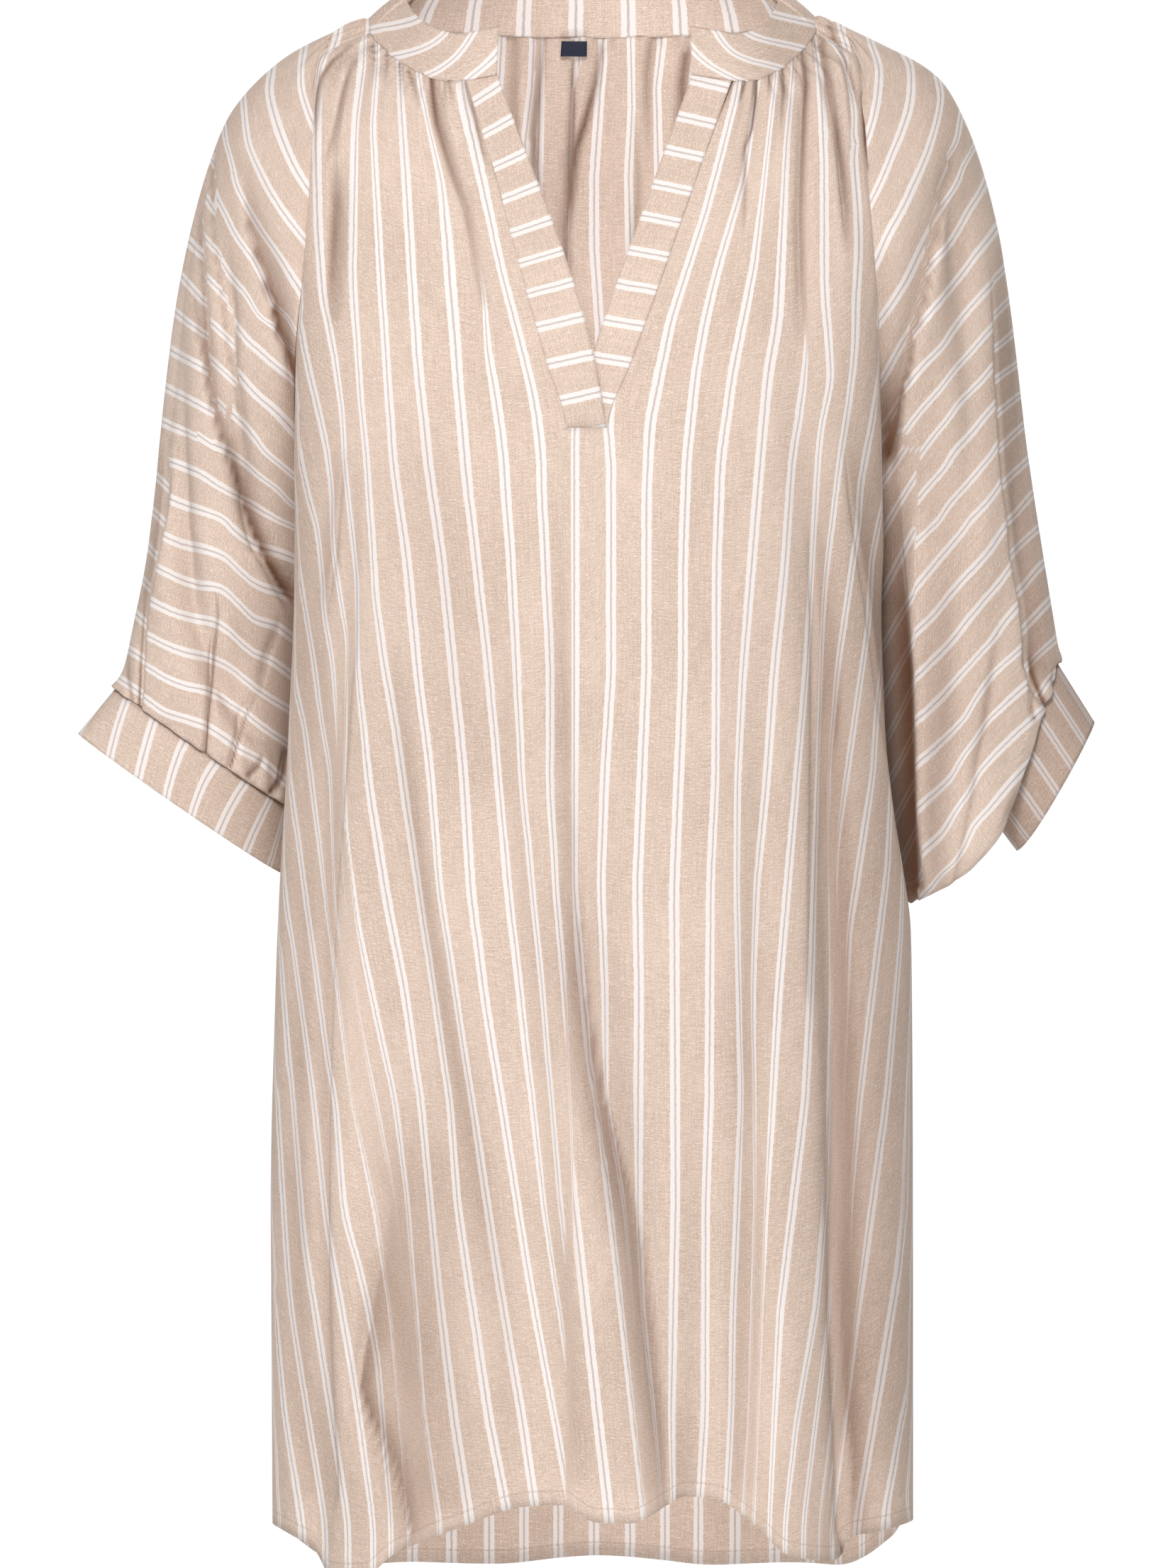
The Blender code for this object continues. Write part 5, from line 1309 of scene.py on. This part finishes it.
def sleeve_surface(side, rows):
    """A sleeve with its creases and gathers."""
    turns = np.linspace(0, 1, SLEEVE_COLUMNS + 1)
    grid = sleeve_grid(side, rows, turns)
    if side == "left":
        towards = SLEEVE_FULLNESS.read("x", np.clip(flat(grid)[1], *FULLNESS_LEVELS))
        grid[..., 0] -= towards * np.exp(-((np.minimum(turns, 1 - turns) / FULLNESS_WIDTH) ** 2))
    normal = normals_of(grid)
    middle = len(rows) // 2
    facing = np.sum((grid[middle] - grid[middle].mean(axis=0)) * normal[middle])
    normal = normal if facing > 0 else -normal
    closed = rows > 1 - 1e-6
    seam = normal[closed, 0] + normal[closed, -1]
    seam /= np.linalg.norm(seam, axis=-1, keepdims=True)
    normal[closed, 0] = normal[closed, -1] = seam
    height = single_gathers(turns, rows, *SLEEVE_GATHERS, 7 + SIDES[side])
    height += single_gathers(turns, 2 - rows, *CUFF_GATHERS, 11 + SIDES[side])
    fine, painted_shade = puckers(turns, 2 - rows, CUFF_TUCKS, 17 + SIDES[side])
    height += crease_height(rows, turns, SLEEVE_FOLDS[side])
    front = np.clip((0.5 - turns) / 0.05, 0, 1)[None, :]
    height += crease_relief(*flat(grid), SLEEVE_CREASES[side], "heights") * front + fine
    height *= away_from_seams(arc_lengths(grid, 1))
    plain, grid = grid, grid + normal * height[..., None]
    # Painted shade in the sleeve's creases, on its front half.
    painted_shade = np.maximum(painted_shade, crease_relief(*flat(grid), SLEEVE_CREASES[side], "shade") * front)
    # Painted shade along the seam above the cuff.
    from_end = arc_lengths(grid, 0)[-1:] - arc_lengths(grid, 0)
    painted_shade = np.maximum(painted_shade, CUFF_SEAM_SHADE[side] * np.exp(-((from_end / SEAM_SHADE_REACH) ** 2)))
    if side == "left":
        x, z = flat(grid)
        low = np.clip((EDGE_LIFT_FROM - z) / EDGE_LIFT_OVER, 0, 1)
        grid[..., 2] += EDGE_LIFT * np.exp(-(((x - EDGE_LIFT_X) / EDGE_LIFT_WIDTH) ** 2)) * low
    return grid, normal, sleeve_numbers(side, plain, grid), painted_shade


def neck_loop():
    """The collar's seam from the wearer's right front corner round the back to the left one."""
    first_row = np.array([0.0])
    columns = np.linspace(0, 1, 61)
    halves = []
    for side, sign in SIDES.items():
        front = front_half(side, first_row, columns)[0]
        corner = np.array([PLACKET_TOP]) * (sign, 1, 1)
        share = np.linspace(0, 1, 11)[:-1, None]
        band = corner * (1 - share) + front[:1] * share
        over = sleeve_grid(side, first_row, np.linspace(0, 1, 31))[0][1:-1]
        behind = back_half(side, first_row, np.linspace(1, 0, 51))[0]
        halves.append(np.concatenate([band, front, over, behind]))
    return np.concatenate([halves[0], halves[1][::-1][1:]])


def make_collar():
    """A stand band that leans in over the shoulders."""
    loop = neck_loop()
    step = np.linalg.norm(np.diff(loop, axis=0), axis=1)
    arc = np.concatenate([[0], np.cumsum(step)])
    share = arc / arc[-1]
    tangent = np.gradient(loop, axis=0)
    inward = np.stack([tangent[:, 1], -tangent[:, 0], 0 * share], axis=1)
    inward /= np.linalg.norm(inward, axis=1, keepdims=True)
    if np.sum(inward * loop) > 0:
        inward = -inward
    near = np.minimum(share, 1 - share)
    lean = np.radians(COLLAR_LEAN.read("degrees", near))[:, None]
    rise = inward * np.sin(lean) + np.array([0.0, 0.0, 1.0]) * np.cos(lean)
    heights = COLLAR_LIFT + np.linspace(-SEAM_LAP, COLLAR_HEIGHT, COLLAR_ROWS)
    grid = loop[None] + heights[:, None, None] * rise[None]
    normal = body_normals(grid)
    swell = np.sin(np.pi * np.clip(heights / COLLAR_HEIGHT, 0, 1)) * COLLAR_SWELL + BAND_LIFT
    grid += normal * swell[:, None, None]
    x, z = flat(grid)
    numbers = (arc[None] - arc[-1] / 2) / COLLAR_BACK_STEP + COLLAR_BACK_START + 0 * x
    for side, lines in COLLAR_STRIPES.items():
        apart = share if side == "right" else 1 - share
        front = np.clip((COLLAR_FRONT - apart) / COLLAR_FRONT_OVER, 0, 1)[None, :]
        numbers = numbers * (1 - front) + thin_plate(lines)(x, z) * front
    along = heights[:, None] + 0 * numbers
    return sheet("collar_cloth", grid, normal, numbers, along)


def make_placket(side, over):
    """One band of the slit. Below the V, the one that lies over comes forward and the other goes back."""
    rows = body_rows()
    rows = rows[rows < SLIT_ROW + 1e-6]
    edge = stacked(FRONT_INNER.read(side + "_x", rows), *FRONT_INNER.point("y z", rows).T)
    inner = edge.copy()
    inner[:, 0] = PLACKET_INNER[side].read("x", edge[:, 2])
    inner[0] = np.multiply(PLACKET_TOP, (SIDES[side], 1, 1))
    way = (inner - edge) / np.linalg.norm(inner - edge, axis=1, keepdims=True)
    edge -= way * SEAM_LAP
    share = np.linspace(0, 1, PLACKET_COLUMNS)
    grid = edge[:, None] * (1 - share[:, None]) + inner[:, None] * share[:, None]
    level = -LAP if over else LAP
    foot = np.clip((edge[:, 2] - edge[-1, 2]) / PLACKET_FOOT, 0, 1)
    grid[..., 1] += level * (PLACKET_CROSSING.read("share", edge[:, 2]) * foot)[:, None] * share
    normal = body_normals(grid)
    lift = foot[:, None] * BAND_LIFT * np.exp(-((share / PLACKET_LIFT) ** 2))
    grid += normal * lift[..., None]
    grid[-1, :, 1:] += (CLOTH, -PLACKET_TUCK)
    _, z = flat(grid)
    top, foot = PLACKET_SLANT[side]
    slant = np.interp(-z, PLACKET_LEVELS, (top, foot))
    stripes = np.array(PLACKET_STRIPES[side], float)
    numbers = np.interp(-(z - slant * share), -stripes, np.arange(len(stripes)))
    before = np.minimum(-(z - slant * share) + stripes[0], 0) / STRIPE_STEP
    along = arc_lengths(grid, 1)
    return sheet("placket_" + side + "_cloth", grid, normal, numbers + before, along)


def make_label():
    """A small woven label on the inside of the back, just under the collar."""
    rows, columns = np.linspace(*LABEL_ROWS, LABEL_GRID[0]), np.linspace(*LABEL_COLUMNS, LABEL_GRID[1])
    grid = back_half("right", rows, columns)
    normal = body_normals(grid)
    numbers = arc_lengths(grid, 1) / STRIPE_STEP
    down = arc_lengths(grid, 0)
    return sheet("label_cloth", grid - normal * LAP, normal, numbers, down, thickness=LABEL_THICKNESS)


def ring_inwards(ring, distance):
    way = ring.mean(axis=0) - ring
    return ring + way / np.linalg.norm(way, axis=1, keepdims=True) * distance


def make_cuff(side):
    """A band whose top edge lies just inside the sleeve's end."""
    turns = np.linspace(0, 1, CUFF_COLUMNS)
    top = ring_inwards(sleeve_grid(side, np.array([2.0]), turns)[0], LAP)
    centre = top.mean(axis=0)
    foot = centre + CUFFS[side]["drop"] + (top - centre) * CUFFS[side]["flare"]
    share = np.linspace(0, 1, CUFF_ROWS)[:, None, None]
    grid = top[None] * (1 - share) + foot[None] * share
    normal = outward(grid, normals_of(grid), grid.mean(axis=(0, 1)))
    arcs = arc_lengths(grid, 1)
    x, _ = flat(top)
    known = np.array(CUFF_STRIPES[side], float) * SIDES[side]
    half = slice(0, len(turns) // 2)
    place = np.interp(known[::-1], x[half] * SIDES[side], arcs[0][half])
    middle = place.mean()
    count = len(known) / 2 - 0.5
    step = STRIPE_STEP if len(place) < 2 else abs(np.diff(place)).mean()
    whole = round(arcs[0, -1] / step)
    numbers = (arcs / arcs[:, -1:] * whole) - middle / arcs[0, -1] * whole + count
    if side == "right":
        from_upright = flat(grid)[0] + CUFF_UPRIGHT
        more = np.clip((from_upright + CUFF_LEAN_FROM) / CUFF_LEAN_OVER, 0, 1)
        slant = -CUFF_SLANT * from_upright - CUFF_LEAN * more
        slant = slant * np.clip((0.5 - turns) / 0.1, 0, 1)
        facing = np.sign(x[len(turns) // 4] - x[0])
        numbers -= facing * slant * share[..., 0] * whole / arcs[:, -1:]
    down = arc_lengths(grid, 0)
    # Painted shade on the cuff: under the sleeve's end, and over the whole band.
    dark = CUFF_TOP_SHADE * np.exp(-((down / CUFF_TOP_REACH) ** 2)) + CUFF_SHADE[side]
    marks = dict(painted_shade=np.clip(dark, 0, 1))
    return sheet("cuff_" + side + "_cloth", grid, normal, numbers, down, marks, merge_from=0)


def put_in_scene(name, data):
    thing = bpy.data.objects.new(name, data)
    bpy.context.scene.collection.objects.link(thing)
    return thing


class Recipe:
    """The nodes of one finish, added one after another."""

    def __init__(self, name):
        self.material = bpy.data.materials.new(name)
        self.material.use_nodes = True
        self.tree = self.material.node_tree
        self.surface = self.tree.nodes["Principled BSDF"]

    def feed(self, socket, value):
        if isinstance(value, bpy.types.NodeSocket):
            self.tree.links.new(value, socket)
        else:
            socket.default_value = value

    def maths(self, operation, *values):
        node = self.tree.nodes.new("ShaderNodeMath")
        node.operation = operation
        for socket, value in zip(node.inputs, values):
            self.feed(socket, value)
        return node.outputs[0]

    def add(self, first, second):
        return self.maths("ADD", first, second)

    def minus(self, first, second):
        return self.maths("SUBTRACT", first, second)

    def times(self, first, second):
        return self.maths("MULTIPLY", first, second)

    def scaled(self, vector, by):
        node = self.tree.nodes.new("ShaderNodeVectorMath")
        node.operation = "MULTIPLY"
        self.feed(node.inputs[0], vector)
        self.feed(node.inputs[1], by)
        return node.outputs[0]

    def noise(self, vector, by, detail=2.0, roughness=0.5):
        """Soft noise. by says how many of its grains lie in one millimetre across and along."""
        node = self.tree.nodes.new("ShaderNodeTexNoise")
        self.feed(node.inputs["Vector"], self.scaled(vector, (by[0] * 1000, by[1] * 1000, 1.0)))
        self.feed(node.inputs["Scale"], 1.0)
        self.feed(node.inputs["Detail"], detail)
        self.feed(node.inputs["Roughness"], roughness)
        return node.outputs["Fac"]

    def band(self, value, start, end, low=0.0, high=1.0):
        node = self.tree.nodes.new("ShaderNodeMapRange")
        node.interpolation_type = "SMOOTHSTEP"
        for socket, number in zip(node.inputs[:5], (value, start, end, low, high)):
            self.feed(socket, number)
        return node.outputs[0]

    def mixed(self, share, first, second, blend="MIX"):
        node = self.tree.nodes.new("ShaderNodeMix")
        node.data_type = "RGBA"
        node.blend_type = blend
        self.feed(node.inputs[0], share)
        for socket, colour in ((node.inputs[6], first), (node.inputs[7], second)):
            self.feed(socket, colour if isinstance(colour, bpy.types.NodeSocket) else (*colour, 1.0))
        return node.outputs[2]

    def weave(self):
        """Where a point lies in the flat cloth, in metres, and how far across that is."""
        node = self.tree.nodes.new("ShaderNodeUVMap")
        node.uv_map = "cloth"
        apart = self.tree.nodes.new("ShaderNodeSeparateXYZ")
        self.tree.links.new(node.outputs[0], apart.inputs[0])
        return node.outputs[0], apart.outputs[0]

    def attribute(self, name):
        node = self.tree.nodes.new("ShaderNodeAttribute")
        node.attribute_name = name
        return node.outputs["Fac"]

    def bump(self, height, strength, distance):
        node = self.tree.nodes.new("ShaderNodeBump")
        self.feed(node.inputs["Strength"], strength)
        self.feed(node.inputs["Distance"], distance)
        self.feed(node.inputs["Height"], height)
        self.tree.links.new(node.outputs[0], self.surface.inputs["Normal"])

    def let_light_through(self, colour, share):
        """Part of the light that falls on one side of the cloth leaves it on the other side."""
        glow = self.tree.nodes.new("ShaderNodeBsdfTranslucent")
        both = self.tree.nodes.new("ShaderNodeMixShader")
        self.tree.links.new(colour, glow.inputs["Color"])
        both.inputs[0].default_value = share
        self.tree.links.new(self.surface.outputs[0], both.inputs[1])
        self.tree.links.new(glow.outputs[0], both.inputs[2])
        self.tree.links.new(both.outputs[0], self.tree.nodes["Material Output"].inputs["Surface"])

    def constants(self, **values):
        for name, value in values.items():
            self.surface.inputs[name.replace("_", " ")].default_value = value


GROUND_LIGHT = (0.79, 0.65, 0.563)
GROUND_DARK = (0.53, 0.408, 0.33)
FLECK = (0.93, 0.85, 0.76)
WHITE_LINE = 1.7  # how far each white line lies from the middle of its pair
LINE_EDGE = (0.98, 1.4)  # where a white line starts and ends to fade, from its own middle
LINE_FUZZ, LINE_WANDER = 1.3, 0.8  # how far threads stray from it, and the whole pair from its place
CORE_EDGE, CORE_SHARE = (0.26, 0.64), 0.8  # the same of the grey thread, and how well it covers
PINSTRIPE = (0.855, 0.805, 0.785)
PINSTRIPE_CORE = (0.57, 0.52, 0.52)
PAINTED_PLEAT_SHADE = (0.26, 0.145, 0.09)  # painted shade: what is left of the light at the bottom of a deep pleat
STITCH = (0.44, 0.32, 0.25)
LABEL_DARK = (0.008, 0.010, 0.022)
LABEL_LIGHT = (0.018, 0.022, 0.044)
LIGHT_THROUGH = 0.25
STITCH_EDGE, STITCH_LENGTH = (0.3, 0.8), 1.6
HEM_STITCH = 7.5  # how far above the edge the hem is sewn, in millimetres


def striped_cloth():
    """A plain weave with slubs, flecks and pairs of white pinstripes with a grey thread between them."""
    recipe = Recipe("striped_cloth")
    uv, across = recipe.weave()
    slubs = recipe.noise(uv, (0.10, 1.7), 3.0, 0.65)
    warp = recipe.noise(uv, (1.6, 0.05), 2.0, 0.6)
    grain = recipe.noise(uv, (1.3, 1.4), 2.0, 0.75)
    cloud = recipe.noise(uv, (0.012, 0.012), 2.0, 0.5)
    fleck = recipe.band(recipe.noise(uv, (0.34, 1.6), 1.0, 0.5), 0.61, 0.72)
    tone = recipe.add(recipe.times(slubs, 0.7), recipe.times(warp, 0.45))
    tone = recipe.add(tone, recipe.times(grain, 1.2))
    tone = recipe.add(tone, recipe.times(cloud, 0.35))
    share = recipe.band(tone, 1.05, 1.6)
    ground = recipe.mixed(share, GROUND_DARK, GROUND_LIGHT)
    ground = recipe.mixed(recipe.times(fleck, 0.6), ground, FLECK)
    steps = recipe.maths("DIVIDE", across, STRIPE_STEP * METRES)
    off = recipe.minus(steps, recipe.maths("ROUND", steps))
    place = recipe.times(off, STRIPE_STEP)
    wander = recipe.noise(uv, (0.02, 0.22), 2.0, 0.6)
    place = recipe.add(place, recipe.times(recipe.minus(wander, 0.5), LINE_WANDER))
    away = recipe.maths("ABSOLUTE", place)
    fuzz = recipe.times(recipe.minus(recipe.noise(uv, (0.3, 0.8), 3.0, 0.65), 0.5), LINE_FUZZ)
    from_line = recipe.add(recipe.maths("ABSOLUTE", recipe.minus(away, WHITE_LINE)), fuzz)
    white = recipe.band(from_line, *LINE_EDGE, 1.0, 0.0)
    core = recipe.band(away, *CORE_EDGE, 1.0, 0.0)
    shown = recipe.minus(1.0, recipe.attribute("tuck"))
    white = recipe.times(recipe.times(white, shown), recipe.band(grain, 0.1, 0.5, 0.8, 1.0))
    core = recipe.times(recipe.times(core, shown), CORE_SHARE)
    colour = recipe.mixed(white, ground, PINSTRIPE)
    colour = recipe.mixed(core, colour, PINSTRIPE_CORE)
    above = recipe.attribute("edge")
    from_stitch = recipe.maths("ABSOLUTE", recipe.minus(above, HEM_STITCH))
    stitch = recipe.band(from_stitch, *STITCH_EDGE, 1.0, 0.0)
    dash = recipe.maths("PINGPONG", across, STITCH_LENGTH * METRES)
    stitch = recipe.times(stitch, recipe.band(dash, 0.0003, 0.0006, 0.25, 1.0))
    colour = recipe.mixed(recipe.times(stitch, 0.35), colour, STITCH)
    # Painted shade: the colour is darkened where the mark says, down to what is left of the light in a deep
    # pleat.
    painted_shade = recipe.attribute("painted_shade")
    shadow = recipe.mixed(painted_shade, (1.0, 1.0, 1.0), PAINTED_PLEAT_SHADE)
    colour = recipe.mixed(1.0, colour, shadow, "MULTIPLY")
    recipe.tree.links.new(colour, recipe.surface.inputs["Base Color"])
    recipe.let_light_through(colour, LIGHT_THROUGH)
    relief = recipe.add(grain, recipe.times(slubs, 1.2))
    relief = recipe.add(relief, recipe.times(white, 0.25))
    relief = recipe.minus(relief, recipe.times(stitch, 0.8))
    rumple = recipe.noise(uv, (0.055, 0.018), 2.0, 0.5)
    recipe.bump(recipe.add(relief, recipe.times(rumple, 5.0)), 0.4, 0.0004)
    recipe.constants(
        Roughness=0.85,
        Specular_IOR_Level=0.25,
        Sheen_Weight=0.15,
        Sheen_Roughness=0.45,
        Sheen_Tint=(1.0, 0.94, 0.86, 1.0),
    )
    return recipe.material


def label_cloth():
    """A close dark satin weave."""
    recipe = Recipe("label")
    uv, _ = recipe.weave()
    grain = recipe.noise(uv, (3.0, 1.2), 2.0, 0.6)
    colour = recipe.mixed(grain, LABEL_DARK, LABEL_LIGHT)
    recipe.tree.links.new(colour, recipe.surface.inputs["Base Color"])
    recipe.bump(grain, 0.3, 0.0002)
    recipe.constants(Roughness=0.6, Specular_IOR_Level=0.25)
    return recipe.material


def light(name, place, aim, size, power, colour=(1.0, 1.0, 1.0), spread=180):
    """A soft round lamp, its spread in degrees."""
    lamp = bpy.data.lights.new(name, "AREA")
    lamp.spread = math.radians(spread)
    lamp.shape = "DISK"
    lamp.size = size
    lamp.energy = power
    lamp.color = colour
    thing = put_in_scene(name, lamp)
    thing.visible_camera = False
    thing.location = place
    away = np.array(place) - np.array(aim)
    thing.rotation_euler = (
        math.acos(away[2] / np.linalg.norm(away)), 0.0, math.atan2(away[1], away[0]) + math.pi / 2
    )


def studio():
    """A pale floor well below the top, white all round, and soft lights before, behind and inside it."""
    build = bmesh.new()
    bmesh.ops.create_grid(build, x_segments=8, y_segments=8, size=FLOOR_HALF)
    for vert in build.verts:
        vert.co.z = FLOOR_Z
    mesh = bpy.data.meshes.new("floor")
    build.to_mesh(mesh)
    build.free()
    floor = put_in_scene("floor", mesh)
    paint = Recipe("pale_floor")
    paint.constants(Base_Color=(0.82, 0.82, 0.81, 1.0), Roughness=0.9)
    mesh.materials.append(paint.material)
    world = bpy.data.worlds.new("white studio")
    bpy.context.scene.world = world
    world.use_nodes = True
    tree = world.node_tree
    dim = tree.nodes["Background"]
    dim.inputs[0].default_value = (1.0, 0.985, 0.97, 1.0)
    dim.inputs[1].default_value = WORLD_GLOW
    bright = tree.nodes.new("ShaderNodeBackground")
    bright.inputs[0].default_value = (1.0, 1.0, 1.0, 1.0)
    bright.inputs[1].default_value = WORLD_SHOWN
    path = tree.nodes.new("ShaderNodeLightPath")
    both = tree.nodes.new("ShaderNodeMixShader")
    tree.links.new(path.outputs["Is Camera Ray"], both.inputs[0])
    tree.links.new(dim.outputs[0], both.inputs[1])
    tree.links.new(bright.outputs[0], both.inputs[2])
    tree.links.new(both.outputs[0], tree.nodes["World Output"].inputs[0])
    light("key", (-0.3, -3.2, 1.3), (0.0, 0.0, -0.4), 1.0, 98.0, (1.0, 0.99, 0.985))
    light("fill", (-0.9, -3.2, -1.0), (0.0, 0.0, -0.75), 1.6, 26.0)
    light("behind", (0.5, 3.0, 0.9), (0.0, 0.0, -0.3), 1.8, 80.0)
    light("inside the neck", (0.0, 0.0, -0.55), (0.0, 0.075, -0.1), 0.1, 0.38, (0.9, 0.96, 1.0), 80)
    light("inside the hem", (0.0, 0.0, -0.55), (0.0, 0.12, -0.87), 0.1, 0.36, spread=110)


def set_camera():
    camera = bpy.data.cameras.new("front view")
    camera.lens = LENS
    thing = put_in_scene("front view", camera)
    thing.location = [value * METRES for value in EYE]
    thing.rotation_euler = (math.radians(90), 0.0, 0.0)
    bpy.context.scene.camera = thing
    bpy.context.scene.view_settings.view_transform = "Standard"


def main():
    set_camera()
    studio()
    cloth, label = striped_cloth(), label_cloth()
    rows, tube_rows = body_rows(), sleeve_rows()
    front, front_normal, keep, front_numbers, front_painted_shade = front_grid(rows)
    back, back_normal, back_numbers, back_painted_shade = back_grid(rows)
    raglan = np.nonzero(rows < 1 + 1e-6)[0]
    blend = RAGLAN_TURNING.read("share", rows[raglan])
    pieces = {}
    for side, sign in SIDES.items():
        grid, normal, numbers, painted_shade = sleeve_surface(side, tube_rows)
        body_column = 0 if side == "right" else -1
        for body, column in ((front_normal, 0), (back_normal, -1)):
            first, second = body[raglan, body_column].copy(), normal[raglan, column].copy()
            share_normals(first, second, blend)
            body[raglan, body_column], normal[raglan, column] = first, second
        for body in (front, back):
            part_at_underarm(body, body_column, rows, sign, -1)
        part_at_underarm(grid, 0, tube_rows, sign, 1)
        part_at_underarm(grid, -1, tube_rows, sign, 1)
        round_it = arc_lengths(grid, 1)
        marks = dict(painted_shade=painted_shade, tuck=torn(numbers, round_it))
        name = "sleeve_" + side
        pieces[name] = sheet(name + "_cloth", grid, normal, numbers, round_it, marks, merge_from=raglan[-1])
    down = arc_lengths(front, 0)
    marks = dict(
        tuck=tucked(front_numbers, arc_lengths(front, 1), down), painted_shade=front_painted_shade, edge=down[-1:] - down
    )
    pieces["front"] = sheet("front_cloth", front, front_normal, front_numbers, down, marks, keep)
    down = arc_lengths(back, 0)
    jumps = torn(back_numbers, arc_lengths(back, 1))
    marks = dict(tuck=jumps, painted_shade=back_painted_shade, edge=down[-1:] - down)
    pieces["back"] = sheet("back_cloth", back, back_normal, back_numbers, down, marks)
    pieces["collar"] = make_collar()
    pieces["placket_right"] = make_placket("right", True)
    pieces["placket_left"] = make_placket("left", False)
    pieces["size_label"] = make_label()
    for side in SIDES:
        pieces["cuff_" + side] = make_cuff(side)
    for node, piece in pieces.items():
        dark = node == "size_label"
        piece.data.materials.append(label if dark else cloth)
        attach(piece, "root")
        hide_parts(node)


main()
